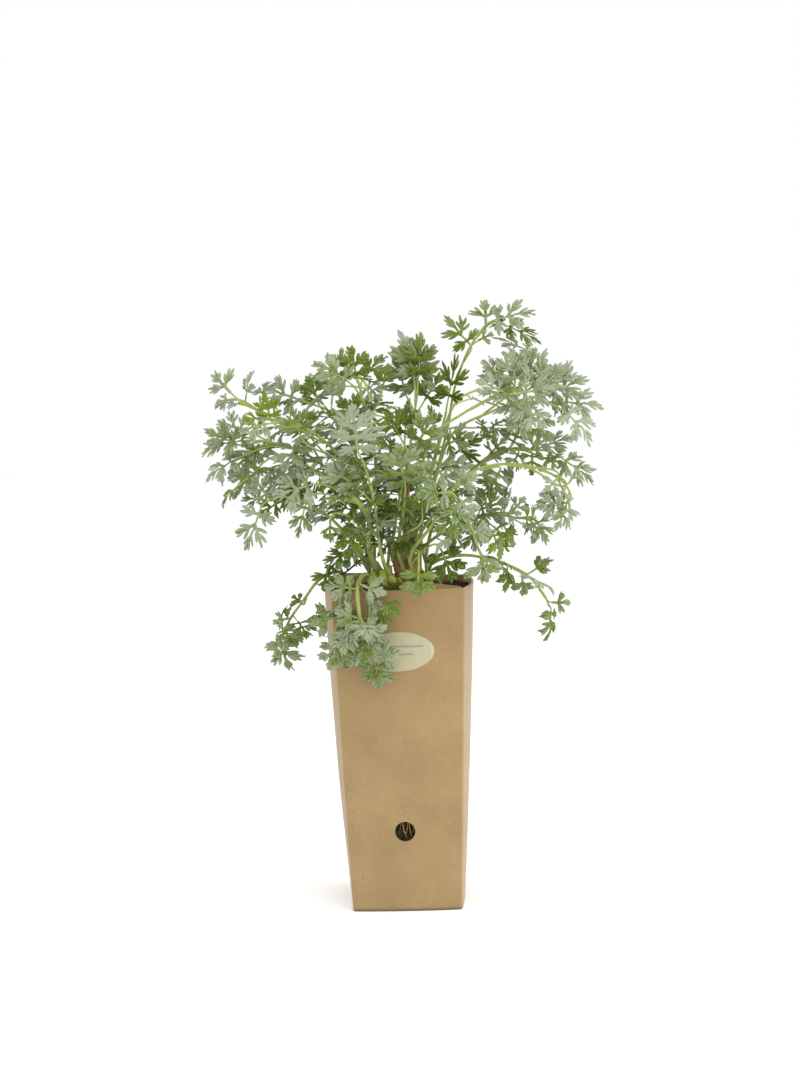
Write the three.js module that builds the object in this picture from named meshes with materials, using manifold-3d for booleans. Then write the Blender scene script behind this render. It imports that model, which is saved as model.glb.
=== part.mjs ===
// A silver-leaved wormwood in a tall folded cardboard pot. Millimetres, +Z up, the plant's front
// faces -Y, and the origin is in the middle of the pot's underside.
import * as THREE from "three";
import { mergeVertices } from "three/addons/utils/BufferGeometryUtils.js";
import Module from "manifold-3d";

const wasm = await Module();
wasm.setup();

// Driving dimensions: the pot
const potHeight = 200;
const rimCrease = 81; // between the folded creases at the rim
const baseCrease = 67.4; // between the creases on the ground
const rimBow = 5.2; // how far each side bows out between its creases at the rim
const baseBow = 1.4;
const boardThickness = 1.2;
const floorThickness = 2.4; // two folded flaps
const rimRaise = 3; // the back left corner of the rim stands up
const raiseStart = 0.35; // from this share of the way out to that corner
const footRounding = { inset: 0.8, height: 1 };
const sideShares = [-0.94, -0.52, 0, 0.52, 0.94]; // points along a side, as shares of its half
const airHole = { diameter: 12.5, height: 50.3, sides: 14 };
const gap = 0.3; // between pieces that touch
const cutPast = 5; // how far a cutter reaches past what it cuts

// Driving dimensions: what the pot holds
const soilLevel = 195;
const soilRelief = 1.2;
const soilMiddle = { scale: 0.6, rise: 1 }; // the part that holds the stems
const footDepth = 16; // how deep a stem stands in its hole in the soil
const trunkFoot = { x: 4, y: 2, radius: 4.6, sides: 7 };
const trunkTop = { height: 268, radius: 2.7 };
const trunkSteps = 12;
const trunkKnot = { everySteps: 3, swell: 1.15 };

// Driving dimensions: the label
const label = { width: 44.6, height: 24.4, thickness: 0.6, middleX: -1, middleZ: 162.5, columns: 8 };

// Driving dimensions: stems and leaves
const stemSides = 4;
const stemStraight = 4; // how far a stem stands straight out of the soil
const stemRadius = { foot: 1.7, tip: 1 };
const stalk = { width: 1.7, thickness: 1.5, longSpan: 20, sunkShare: 0.025, alongStem: 0.6, handle: 0.35 };
const bladeThickness = 0.8;
const bladeWidening = 1.25; // the lobes of a flattened leaf reach further than they seem to
const bladeArch = 0.5; // how far a blade bends down over its length, radians
const bladeCup = 0.28; // how far the lobes rise beside the rib, per length of lobe
const bladeDroop = 0.5; // how fast they bend down again
const turnOut = 0.7; // how far a leaf at the bush's side faces away from the front, radians
const bushHalf = 125;
const facingRange = [-0.35, 0.35]; // random turns, radians
const rollRange = [-0.25, 0.25]; // about the rib
const archRange = [0.4, 1.6]; // random shares of the arch and of the cup
const cupRange = [0.5, 1.5];

// Joining and cutting closed meshes

function solidOf(geometry) {
  const bare = geometry.index ? geometry.toNonIndexed() : geometry.clone();
  bare.deleteAttribute("normal");
  bare.deleteAttribute("uv");
  const merged = mergeVertices(bare, 1e-4);
  const vertProperties = new Float32Array(merged.attributes.position.array);
  const triVerts = new Uint32Array(merged.index.array);
  return new wasm.Manifold(new wasm.Mesh({ numProp: 3, vertProperties, triVerts }));
}

function geometryOf(solid) {
  const mesh = solid.getMesh();
  const geometry = new THREE.BufferGeometry();
  geometry.setAttribute("position", new THREE.BufferAttribute(mesh.vertProperties, 3));
  geometry.setIndex(new THREE.BufferAttribute(mesh.triVerts, 1));
  return geometry;
}

function joined(solids) {
  return solids.reduce((whole, next) => whole.add(next));
}

function closedMesh(points, triangles) {
  const geometry = new THREE.BufferGeometry();
  const flat = points.flatMap((point) => [point.x, point.y, point.z]);
  geometry.setAttribute("position", new THREE.Float32BufferAttribute(flat, 3));
  geometry.setIndex(triangles.flat());
  return geometry;
}

function seededDraws(seed) {
  let state = seed;
  return () => {
    state = (state * 48271) % 2147483647;
    return state / 2147483647;
  };
}

function between(draw, [least, most]) {
  return least + (most - least) * draw();
}

// The pot: four sides that bow out between the creases

function sizeAt(height) {
  const share = height / potHeight;
  const half = (baseCrease + (rimCrease - baseCrease) * share) / 2;
  const bow = baseBow + (rimBow - baseBow) * share;
  return { half, bow };
}

function sectionAt(height, inset) {
  const { half, bow } = sizeAt(height);
  const side = sideShares.map(
    (u) => new THREE.Vector2((half - inset) * u, inset - half - bow * (1 - u * u)),
  );
  const middle = new THREE.Vector2();
  return [0, 1, 2, 3].flatMap((quarter) =>
    side.map((point) => point.clone().rotateAround(middle, (quarter * Math.PI) / 2)),
  );
}

function rimHeight(point) {
  const towardsCorner = (point.y - point.x) / rimCrease;
  return potHeight + (rimRaise * Math.max(0, towardsCorner - raiseStart)) / (1 - raiseStart);
}

function loft(rings) {
  const count = rings[0].length;
  const points = rings.flat();
  const triangles = [];
  for (let ring = 0; ring + 1 < rings.length; ring += 1) {
    for (let i = 0; i < count; i += 1) {
      const a = ring * count + i;
      const b = ring * count + ((i + 1) % count);
      triangles.push([a, b, b + count], [a, b + count, a + count]);
    }
  }
  const bottom = points.length;
  const top = bottom + 1;
  points.push(middleOf(rings[0]), middleOf(rings[rings.length - 1]));
  const last = (rings.length - 1) * count;
  for (let i = 0; i < count; i += 1) {
    const next = (i + 1) % count;
    triangles.push([bottom, next, i], [top, last + i, last + next]);
  }
  return closedMesh(points, triangles);
}

function middleOf(ring) {
  const sum = ring.reduce((total, point) => total.clone().add(point), new THREE.Vector3());
  return sum.divideScalar(ring.length);
}

function ringAt(height, inset, heightOf) {
  return sectionAt(height, inset).map(
    (point) => new THREE.Vector3(point.x, point.y, heightOf ? heightOf(point) : height),
  );
}

function cardboardPot() {
  const outside = loft([
    ringAt(0, footRounding.inset),
    ringAt(footRounding.height, 0),
    ringAt(potHeight, 0, rimHeight),
  ]);
  const above = (point) => rimHeight(point) + cutPast;
  const inside = loft([
    ringAt(floorThickness, boardThickness),
    ringAt(potHeight, boardThickness),
    ringAt(potHeight, boardThickness, above),
  ]);
  const hole = new THREE.CylinderGeometry(
    airHole.diameter / 2, airHole.diameter / 2, rimCrease / 2, airHole.sides,
  );
  hole.translate(0, -rimCrease / 2, airHole.height);
  return geometryOf(solidOf(outside).subtract(solidOf(inside)).subtract(solidOf(hole)));
}

// The label: an oval sticker that follows the bowed front

function frontAt(x, z) {
  const { half, bow } = sizeAt(z);
  return -(half + bow * (1 - (x / half) ** 2));
}

function ovalLabel() {
  const last = label.columns - 1;
  const column = (i) => {
    const share = -Math.cos((Math.PI * (i + 0.5)) / label.columns);
    return [(share * label.width) / 2, (Math.sqrt(1 - share * share) * label.height) / 2];
  };
  const columns = Array.from({ length: label.columns }, (_, i) => column(i));
  const flat = [...columns.map(([x, z]) => [x, -z]), ...columns.reverse()];
  const face = [];
  for (let i = 0; i < last; i += 1) {
    const above = flat.length - 1 - i;
    face.push([i, i + 1, above - 1], [i, above - 1, above]);
  }
  const lift = (depth) =>
    flat.map(([x, z]) => {
      const across = label.middleX + x;
      const up = label.middleZ + z;
      return new THREE.Vector3(across, frontAt(across, up) - depth, up);
    });
  return geometryOf(solidOf(sheet(lift(gap + label.thickness), lift(gap), face, flat.length)));
}

// A sheet is two like faces and the wall round their rim, which is the first points in order
function sheet(upper, lower, face, rimCount) {
  const shift = upper.length;
  const triangles = [];
  for (const [a, b, c] of face) {
    triangles.push([a, b, c], [a + shift, c + shift, b + shift]);
  }
  for (let i = 0; i < rimCount; i += 1) {
    const next = (i + 1) % rimCount;
    triangles.push([i, i + shift, next + shift], [i, next + shift, next]);
  }
  return closedMesh([...upper, ...lower], triangles);
}

// Soil: it fills the pot, with a plain hole for each stem

function pottingSoil(feet) {
  const lumpy = ({ x, y }) => soilLevel + soilRelief * Math.sin(x * 0.31 + 1) * Math.cos(y * 0.27);
  const inset = boardThickness + gap;
  const edge = ringAt(soilLevel, inset, lumpy);
  const middle = ringAt(soilLevel, inset).map((point) =>
    new THREE.Vector3(point.x * soilMiddle.scale, point.y * soilMiddle.scale, point.z + soilMiddle.rise),
  );
  const body = solidOf(loft([ringAt(floorThickness + gap, inset), edge, middle]));
  const holeLength = footDepth + gap + cutPast;
  const holes = feet.map((foot) => {
    const radius = foot.radius + gap * Math.SQRT2;
    const hole = new THREE.CylinderGeometry(radius, radius, holeLength, foot.sides);
    hole.rotateX(Math.PI / 2);
    hole.translate(foot.x, foot.y, soilLevel + cutPast - holeLength / 2);
    return solidOf(hole);
  });
  return geometryOf(body.subtract(joined(holes)));
}

// Stems and stalks: tapered tubes with few sides

function taperedTube(points, radii, sides) {
  const rings = [];
  let side = new THREE.Vector3(1, 0, 0);
  points.forEach((point, i) => {
    const before = points[Math.max(0, i - 1)];
    const after = points[Math.min(points.length - 1, i + 1)];
    const along = after.clone().sub(before).normalize();
    side = side.clone().addScaledVector(along, -side.dot(along)).normalize();
    const up = along.clone().cross(side);
    const ring = [];
    for (let k = 0; k < sides; k += 1) {
      const turn = (k * 2 * Math.PI) / sides;
      ring.push(
        point.clone()
          .addScaledVector(side, Math.cos(turn) * radii[i])
          .addScaledVector(up, Math.sin(turn) * radii[i]),
      );
    }
    rings.push(ring);
  });
  return solidOf(loft(rings));
}

// The corners of a stem above the soil
function stemCorners(shoot) {
  const top = new THREE.Vector3(...shoot.foot, soilLevel + stemStraight);
  const rest = shoot.route.map((point) => new THREE.Vector3(...point));
  const curve = new THREE.CatmullRomCurve3([top, ...rest], false, "centripetal");
  return curve.getPoints(rest.length);
}

// The place on a stem, from 0 where it leaves the soil to 1 at its tip
function stemPoint(corners, share) {
  const lengths = corners.slice(1).map((corner, i) => corner.distanceTo(corners[i]));
  let left = share * lengths.reduce((sum, length) => sum + length, 0);
  let i = 0;
  while (i < lengths.length - 1 && left > lengths[i]) {
    left -= lengths[i];
    i += 1;
  }
  return corners[i].clone().lerp(corners[i + 1], Math.min(1, left / lengths[i]));
}

function stemSolid(shoot, corners) {
  const foot = new THREE.Vector3(...shoot.foot, soilLevel - footDepth);
  const points = [foot, ...corners];
  const shares = points.map((_, i) => Math.max(0, (i - 1) / (corners.length - 1)));
  const radii = shares.map((share) => stemRadius.foot + (stemRadius.tip - stemRadius.foot) * share);
  return taperedTube(points, radii, stemSides);
}

// Leaves: pairs of lobes along a rib and one at its end, each cut into two or three fingers

const lobePlans = {
  3: { pairs: [{ at: 0.3, turn: 0.95, reach: 0.56 }], end: { at: 0.45, reach: 0.55 } },
  5: {
    pairs: [
      { at: 0.14, turn: 1.5, reach: 0.5 },
      { at: 0.36, turn: 0.92, reach: 0.58 },
    ],
    end: { at: 0.52, reach: 0.48 },
  },
  7: {
    pairs: [
      { at: 0.08, turn: 1.95, reach: 0.42 },
      { at: 0.25, turn: 1.3, reach: 0.54 },
      { at: 0.46, turn: 0.82, reach: 0.52 },
    ],
    end: { at: 0.62, reach: 0.38 },
  },
};
const longLobe = 17; // mm; a shorter lobe has two fingers
const sinus = { shift: 0.03, widening: 1.3 }; // the notch between two lobes, beside the rib
const ribStart = [0.1, 0];
const fingerCuts = {
  2: [[0.22, 1], [0, 0.52], [-0.24, 0.9]],
  3: [[0.42, 0.8], [0.18, 0.52], [0, 1], [-0.18, 0.52], [-0.42, 0.8]],
};

// The outline of one lobe, from the side towards the leaf's foot: finger tips with notches between
function lobeOutline(at, turn, reach, fingers, side) {
  return fingerCuts[fingers].map(([spread, share]) => {
    const angle = turn + spread;
    return [at + Math.cos(angle) * reach * share, side * Math.sin(angle) * reach * share];
  });
}

// Points of the flat blade, as shares of its length: its rim, with the feet of its fans after it
function bladePlan(lobes, length) {
  const { end } = lobePlans[lobes];
  const pairs = lobePlans[lobes].pairs.map((pair) => ({
    ...pair,
    fingers: pair.reach * length > longLobe ? 3 : 2,
  }));
  const neck = stalk.width / 2 / length;
  const half = (side) => [
    [0, side * neck],
    ...pairs.flatMap((pair, k) => {
      const next = pairs[k + 1] ?? end;
      const notch = [(pair.at + next.at) / 2 + sinus.shift, side * neck * sinus.widening];
      return [...lobeOutline(pair.at, pair.turn, pair.reach, pair.fingers, side), notch];
    }),
  ];
  const tip = lobeOutline(end.at, 0, end.reach, 3, -1);
  const rim = [...half(-1), ...tip, ...half(1).reverse()];
  const feet = [...pairs, end].map((lobe) => [lobe.at, 0]);
  return { rim, feet, face: bladeFace(pairs, rim.length) };
}

// Triangles that fan out from each lobe's foot on the rib
function bladeFace(pairs, rimCount) {
  const face = [[0, rimCount, rimCount - 1]];
  let start = 0;
  pairs.forEach((pair, k) => {
    const foot = rimCount + k;
    const notch = start + fingerCuts[pair.fingers].length + 1;
    for (let i = start; i < notch; i += 1) {
      face.push([foot, i, i + 1], [foot, rimCount - 2 - i, rimCount - 1 - i]);
    }
    face.push([foot, notch, foot + 1], [foot, foot + 1, rimCount - 1 - notch]);
    start = notch;
  });
  const foot = rimCount + pairs.length;
  for (let i = start; i < rimCount - 1 - start; i += 1) {
    face.push([foot, i, i + 1]);
  }
  return face;
}

// The blade's own frame: along the rib, across it, and out of its upper face
function bladeFrame(leaf) {
  const base = new THREE.Vector3(...leaf.base);
  const chord = new THREE.Vector3(...leaf.tip).sub(base);
  const length = chord.length();
  const along = chord.clone().normalize();
  const tilt = THREE.MathUtils.degToRad(leaf.tilt);
  const outward = new THREE.Vector3(Math.cos(leaf.facing), Math.sin(leaf.facing), 0);
  const wish = outward.multiplyScalar(Math.sin(tilt)).add(new THREE.Vector3(0, 0, Math.cos(tilt)));
  const across = wish.clone().cross(along).normalize();
  across.applyAxisAngle(along, leaf.roll);
  const up = along.clone().cross(across);
  return { base, length, along, across, up };
}

// Bends the flat blade: its rib arches over, and its lobes rise beside the rib
function bladePoint(frame, leaf, [share, sideways]) {
  const bend = leaf.arch;
  const start = bend / 2;
  const angle = start - bend * share;
  const forward = (Math.sin(start) - Math.sin(angle)) / bend;
  const rise = (Math.cos(angle) - Math.cos(start)) / bend;
  const reach = Math.abs(sideways) * leaf.spread;
  const lift = leaf.cup * reach - bladeDroop * reach * reach;
  const out = Math.sign(sideways) * reach * leaf.length;
  const x = (forward - lift * Math.sin(angle)) * leaf.length;
  const z = (rise + lift * Math.cos(angle)) * leaf.length;
  return frame.base.clone()
    .addScaledVector(frame.along, x)
    .addScaledVector(frame.across, out)
    .addScaledVector(frame.up, z);
}

// A leaf's stalk leaves the stem, bends, and runs into the foot of the blade
function stalkCurve(leaf, stem, frame) {
  const from = stemPoint(stem, leaf.along - stalk.sunkShare);
  const ahead = stemPoint(stem, Math.min(1, leaf.along + stalk.sunkShare));
  const handle = frame.base.distanceTo(from) * stalk.handle;
  const stemWay = ahead.sub(from).normalize();
  const straight = frame.base.clone().sub(from).normalize();
  const leaveWay = stemWay.multiplyScalar(stalk.alongStem).add(straight).normalize();
  const bladeWay = bladePoint(frame, leaf, ribStart).sub(frame.base).normalize();
  return new THREE.CubicBezierCurve3(
    from,
    from.clone().addScaledVector(leaveWay, handle),
    frame.base.clone().addScaledVector(bladeWay, -handle),
    frame.base,
  );
}

// Pairs of points along the stalk, from the blade's foot back into the stem
function stalkPairs(leaf, stem, frame) {
  const curve = stalkCurve(leaf, stem, frame);
  const steps = frame.base.distanceTo(curve.v0) > stalk.longSpan ? 2 : 1;
  const pairs = [];
  let across = frame.across;
  for (let i = steps - 1; i >= 0; i -= 1) {
    const way = curve.getTangent(i / steps);
    across = across.clone().addScaledVector(way, -across.dot(way)).normalize();
    const middle = curve.getPoint(i / steps);
    const half = stalk.width / 2;
    pairs.push([
      middle.clone().addScaledVector(across, -half),
      middle.clone().addScaledVector(across, half),
    ]);
  }
  return pairs;
}

// The middle surface of a leaf: its stalk's strip and its blade, with its rim first
function leafSurface(leaf, stem) {
  const frame = bladeFrame(leaf);
  const plan = bladePlan(leaf.lobes, leaf.length);
  const pairs = stalkPairs(leaf, stem, frame);
  const count = pairs.length;
  const rimCount = plan.rim.length + 2 * count;
  const spots = [...plan.rim, ...plan.feet].map((spot) => bladePoint(frame, leaf, spot));
  const points = [
    ...pairs.map((pair) => pair[0]).reverse(),
    ...spots.slice(0, plan.rim.length),
    ...pairs.map((pair) => pair[1]),
    ...spots.slice(plan.rim.length),
  ];
  const place = (i) => (i < plan.rim.length ? i + count : i + 2 * count);
  const face = plan.face.map((corners) => corners.map(place));
  for (let i = 0; i < count; i += 1) {
    const left = rimCount - 1 - i;
    face.push([i, i + 1, left - 1], [i, left - 1, left]);
  }
  const isStalk = points.map((_, i) => i < count || (i >= rimCount - count && i < rimCount));
  return { points, face, rimCount, isStalk };
}

// Upper and lower faces lie half a thickness to each side, along the corners' mean normals
function leafSolid(leaf, stem) {
  const { points, face, rimCount, isStalk } = leafSurface(leaf, stem);
  const normals = points.map(() => new THREE.Vector3());
  for (const [a, b, c] of face) {
    const normal = points[b].clone().sub(points[a]).cross(points[c].clone().sub(points[a]));
    [a, b, c].forEach((corner) => normals[corner].add(normal));
  }
  const half = isStalk.map((stalky) => (stalky ? stalk.thickness : bladeThickness) / 2);
  const offset = (side) =>
    points.map((point, i) =>
      point.clone().addScaledVector(normals[i].clone().normalize(), side * half[i]),
    );
  return solidOf(sheet(offset(1), offset(-1), face, rimCount));
}

// The plan of the plant. A leaf is given by the share of the stem at which its stalk leaves it, the
// foot and the tip of its blade, its number of lobes, how far they spread, and how far its upper
// face is turned from the sky towards the front.

const front = -Math.PI / 2;

function leaf(along, base, tip, lobes, spread, tilt, facing = front + (turnOut * base[0]) / bushHalf) {
  return { along, base, tip, lobes, spread, tilt, facing };
}

function shoot(name, foot, route, leaves) {
  return { name, foot, route, leaves };
}

const frontShoots = [
  shoot("shoot_left_high", [-12, -9],
    [[-18, -12, 219], [-23, -20, 254], [-34, -28, 282], [-53, -34, 299], [-77, -38, 309], [-92, -40, 316]],
    [
      leaf(1, [-97, -41, 322], [-108, -40, 335], 3, 1.15, 70),
      leaf(0.93, [-96, -35, 318], [-109, -31, 315], 3, 0.9, 60),
      leaf(0.82, [-78, -44, 310], [-75, -50, 321], 3, 0.9, 60),
      leaf(0.66, [-73, -58, 303], [-91, -62, 298], 5, 0.9, 60),
      leaf(0.55, [-55, -55, 297], [-60, -59, 314], 5, 0.9, 50),
      leaf(0.5, [-49, -25, 291], [-61, -13, 309], 5, 0.9, 50),
    ]),
  shoot("shoot_left_far", [-19, 3],
    [[-21, 2, 220], [-31, 0, 253], [-46, -4, 275], [-65, -10, 287], [-84, -14, 292]],
    [
      leaf(1, [-92, -16, 292], [-121, -18, 284], 7, 0.72, 60),
      leaf(0.85, [-84, -11, 287], [-104, -15, 271], 5, 0.7, 60),
      leaf(0.93, [-94, 1, 298], [-114, 7, 303], 5, 0.9, 50),
      leaf(0.72, [-81, -26, 278], [-100, -30, 257], 5, 0.6, 60),
      leaf(0.6, [-58, -40, 289], [-66, -52, 273], 5, 0.9, 60),
      leaf(0.5, [-58, 6, 262], [-80, 10, 252], 5, 0.9, 60),
    ]),
  shoot("shoot_left_arch", [-8, -18],
    [[-17, -34, 225], [-16, -42, 243], [-22, -50, 255], [-35, -54, 264]],
    [
      leaf(1, [-48, -56, 266], [-74, -58, 258], 5, 0.85, 60),
      leaf(0.55, [-38, -58, 245], [-37, -60, 230], 3, 0.85, 70),
      leaf(0.8, [-53, -48, 255], [-60, -46, 232], 5, 0.7, 70),
    ]),
  shoot("shoot_left_low", [-16, -15],
    [[-22, -22, 220], [-32, -28, 235], [-45, -32, 248], [-63, -34, 257], [-79, -34, 258]],
    [
      leaf(1, [-81, -28, 256], [-95, -28, 257], 3, 1, 60),
      leaf(0.95, [-81, -41, 252], [-91, -39, 224], 5, 0.65, 70),
      leaf(0.8, [-71, -26, 254], [-86, -20, 244], 5, 0.9, 60),
      leaf(0.6, [-58, -14, 255], [-72, -8, 270], 5, 0.9, 50),
    ]),
  shoot("shoot_middle_high", [-6, 1],
    [[-11, 0, 218], [-12, 0, 252], [-14, 0, 287], [-19, -2, 312], [-22, -4, 327]],
    [
      leaf(1, [-23, -4, 328], [-27, 0, 350], 5, 0.8, 50),
      leaf(0.97, [-19, 4, 328], [-5, 10, 344], 3, 0.8, 50),
      leaf(0.9, [-27, -14, 326], [-50, -18, 340], 5, 0.7, 50),
      leaf(0.8, [-7, -8, 321], [-2, -6, 338], 3, 0.7, 50),
      leaf(0.55, [-20, 14, 300], [-38, 18, 316], 5, 0.95, 60),
    ]),
  shoot("shoot_middle_left", [-17, -4],
    [[-15, -8, 222], [-19, -12, 259], [-28, -14, 291], [-39, -14, 308], [-58, -14, 316]],
    [
      leaf(1, [-60, -14, 317], [-81, -14, 324], 5, 0.9, 50),
      leaf(0.8, [-47, -5, 314], [-54, -1, 332], 5, 0.9, 50),
      leaf(0.7, [-37, -31, 313], [-34, -33, 331], 3, 0.7, 50),
    ]),
  shoot("shoot_middle_pale", [-2, -25],
    [[-9, -40, 221], [-12, -52, 255], [-17, -60, 279]],
    [
      leaf(1, [-20, -63, 286], [-22, -64, 314], 7, 1.05, 78),
      leaf(0.7, [-24, -55, 265], [-42, -55, 279], 5, 0.9, 60),
      leaf(0.45, [-23, -54, 238], [-30, -56, 219], 5, 0.8, 75),
    ]),
  shoot("shoot_centre_face", [7, -18],
    [[1, -34, 222], [5, -46, 246], [7, -54, 261]],
    [
      leaf(1, [7, -55, 265], [3, -59, 290], 7, 1.15, 82),
      leaf(0.55, [17, -59, 246], [17, -63, 265], 3, 1, 75),
    ]),
  shoot("shoot_centre_hang", [0, -12],
    [[-3, -24, 223], [2, -36, 251], [7, -42, 272], [13, -44, 284]],
    [
      leaf(1, [15, -46, 288], [27, -50, 307], 5, 0.9, 60),
      leaf(0.95, [4, -40, 293], [-5, -36, 309], 3, 0.9, 50),
    ]),
  shoot("shoot_cup_high", [2, 10],
    [[-1, 14, 218], [5, 14, 257], [10, 12, 295], [14, 10, 317]],
    [
      leaf(1, [14, 16, 321], [11, 14, 354], 7, 0.9, 60),
      leaf(0.92, [6, 21, 319], [0, 17, 344], 5, 0.7, 50),
      leaf(0.85, [18, 28, 313], [30, 32, 331], 5, 0.8, 50),
      leaf(0.6, [6, -8, 291], [9, -14, 315], 5, 0.95, 60),
    ]),
  shoot("shoot_cup_right", [13, 5],
    [[13, 5, 219], [18, 3, 257], [26, 2, 285], [32, 0, 306]],
    [
      leaf(1, [33, 0, 312], [40, -2, 343], 5, 0.7, 60),
      leaf(0.85, [25, -16, 294], [22, -20, 311], 3, 0.9, 60),
      leaf(0.75, [31, -17, 286], [51, -21, 292], 5, 0.9, 60),
      leaf(0.55, [34, -1, 278], [54, 3, 291], 3, 0.95, 60),
    ]),
  shoot("shoot_top", [14, 10],
    [[6, 14, 218], [21, 12, 257], [32, 8, 294], [38, 6, 322], [47, 4, 344], [57, 2, 358]],
    [
      leaf(1, [58, 2, 359], [57, 2, 375], 3, 1.15, 60),
      leaf(0.98, [62, -6, 361], [90, -10, 366], 5, 0.6, 60),
      leaf(0.88, [48, 10, 347], [32, 12, 365], 5, 0.8, 60),
      leaf(0.88, [53, -16, 349], [63, -18, 353], 3, 0.9, 60),
    ]),
  shoot("shoot_right_cluster", [10, -11],
    [[5, -18, 221], [14, -26, 259], [23, -32, 291], [44, -36, 306], [65, -40, 317]],
    [
      leaf(1, [73, -41, 322], [54, -38, 332], 5, 0.85, 60),
      leaf(0.98, [74, -53, 323], [73, -57, 342], 5, 0.85, 60),
      leaf(0.96, [79, -47, 323], [94, -49, 342], 5, 0.85, 60),
      leaf(0.94, [77, -65, 317], [98, -71, 319], 5, 0.85, 60),
      leaf(0.88, [70, -55, 313], [82, -63, 298], 3, 0.9, 60),
    ]),
  shoot("shoot_right_far", [17, 0],
    [[9, -2, 219], [22, -8, 258], [37, -12, 294], [59, -14, 305], [84, -16, 314]],
    [
      leaf(1, [90, -17, 316], [102, -16, 334], 5, 0.8, 60),
      leaf(0.98, [95, -24, 316], [121, -26, 324], 5, 0.75, 60),
      leaf(0.95, [102, -16, 310], [129, -18, 306], 5, 0.85, 60),
      leaf(0.93, [103, -38, 305], [120, -40, 284], 5, 0.85, 60),
      leaf(0.8, [86, 2, 341], [62, 4, 352], 5, 0.5, 50),
    ]),
  shoot("shoot_right_mid", [17, 8],
    [[17, 12, 218], [28, 9, 249], [48, 4, 270], [65, 0, 281], [86, -4, 281]],
    [
      leaf(1, [99, -6, 278], [123, -8, 259], 7, 0.6, 60),
      leaf(0.95, [92, -8, 283], [112, -10, 288], 3, 0.8, 50),
      leaf(0.72, [63, -6, 285], [51, -4, 298], 3, 0.8, 50),
      leaf(0.7, [74, 4, 287], [78, 10, 304], 5, 0.9, 50),
    ]),
  shoot("shoot_right_curl", [15, -16],
    [
      [8, -28, 219], [25, -36, 247], [45, -38, 269], [64, -38, 274],
      [87, -38, 271], [103, -36, 261], [107, -34, 252],
    ],
    [
      leaf(1, [104, -34, 249], [84, -32, 250], 5, 0.7, 60),
      leaf(0.62, [64, -30, 270], [55, -26, 254], 5, 0.9, 60),
    ]),
  shoot("shoot_right_low", [20, -7],
    [[11, -12, 216], [31, -18, 234], [56, -22, 243], [75, -24, 240]],
    [
      leaf(1, [82, -24, 238], [92, -24, 223], 3, 1.1, 70),
      leaf(0.9, [71, -22, 244], [80, -20, 253], 3, 0.9, 60),
      leaf(0.75, [59, -31, 236], [72, -35, 223], 5, 0.9, 70),
      leaf(0.55, [44, -12, 238], [48, -8, 218], 5, 0.9, 70),
    ]),
  shoot("shoot_junction", [13, -23],
    [[8, -38, 219], [22, -50, 239], [35, -60, 258], [44, -66, 243], [50, -66, 224]],
    [
      leaf(1, [51, -66, 221], [53, -64, 204], 3, 1.2, 75),
      leaf(0.86, [46, -68, 235], [60, -72, 236], 3, 0.8, 70),
      leaf(0.68, [40, -69, 247], [23, -75, 236], 5, 0.8, 75),
      leaf(0.52, [33, -72, 260], [14, -74, 259], 5, 0.9, 65),
      leaf(0.5, [37, -60, 262], [51, -62, 270], 3, 0.9, 60),
      leaf(0.2, [27, -48, 225], [35, -44, 202], 5, 0.8, 75),
      leaf(0.3, [14, -70, 214], [13, -68, 197], 5, 1.2, 86),
    ]),
  shoot("shoot_right_droop", [26, -12],
    [[19, -16, 211], [38, -20, 218], [63, -22, 213], [79, -24, 205], [90, -24, 191], [92, -24, 185]],
    [
      leaf(1, [93, -24, 184], [89, -22, 162], 5, 0.6, 70),
      leaf(0.74, [81, -28, 207], [94, -30, 216], 3, 0.7, 60),
      leaf(0.7, [76, -18, 204], [77, -14, 190], 3, 0.9, 70),
      leaf(0.55, [67, -24, 211], [65, -26, 194], 3, 0.7, 75),
    ]),
  shoot("shoot_front_droop", [-14, -32],
    [[-19, -42, 210], [-23, -52, 206], [-23, -62, 197], [-22, -60, 183], [-22, -58, 172]],
    [
      leaf(1, [-22, -58, 171], [-30, -58, 164], 3, 0.9, 80),
      leaf(0.85, [-23, -64, 184], [-36, -66, 184], 3, 0.9, 80),
      leaf(0.8, [-20, -49, 184], [-8, -49, 183], 3, 0.9, 80),
      leaf(0.35, [-20, -58, 205], [-6, -62, 199], 3, 1.05, 70),
    ]),
  shoot("shoot_front_droop_right", [-5, -34],
    [[-15, -44, 208], [-15, -56, 203], [-16, -56, 190], [-17, -54, 172], [-15, -54, 162]],
    [
      leaf(1, [-14, -54, 158], [-13, -52, 141], 5, 1.15, 85),
      leaf(0.93, [-13, -59, 162], [1, -61, 165], 3, 1.15, 80),
      leaf(0.45, [-14, -57, 191], [-3, -55, 182], 3, 1, 80),
    ]),
  shoot("shoot_front_droop_left", [-23, -28],
    [[-25, -38, 209], [-32, -54, 202], [-35, -56, 187], [-39, -54, 172]],
    [
      leaf(1, [-39, -51, 169], [-43, -49, 152], 5, 0.9, 80),
      leaf(0.95, [-36, -62, 171], [-29, -64, 155], 3, 1, 80),
      leaf(0.62, [-37, -58, 186], [-54, -58, 184], 3, 1.1, 80),
    ]),
  shoot("shoot_left_droop", [-28, -12],
    [[-36, -15, 209], [-48, -18, 206], [-59, -20, 193], [-68, -20, 181], [-73, -20, 171]],
    [
      leaf(1, [-74, -20, 169], [-69, -20, 148], 5, 1, 75),
      leaf(0.8, [-69, -24, 182], [-79, -26, 180], 3, 1, 70),
      leaf(0.6, [-60, -18, 190], [-67, -16, 196], 3, 0.9, 60),
    ]),
];

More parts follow.
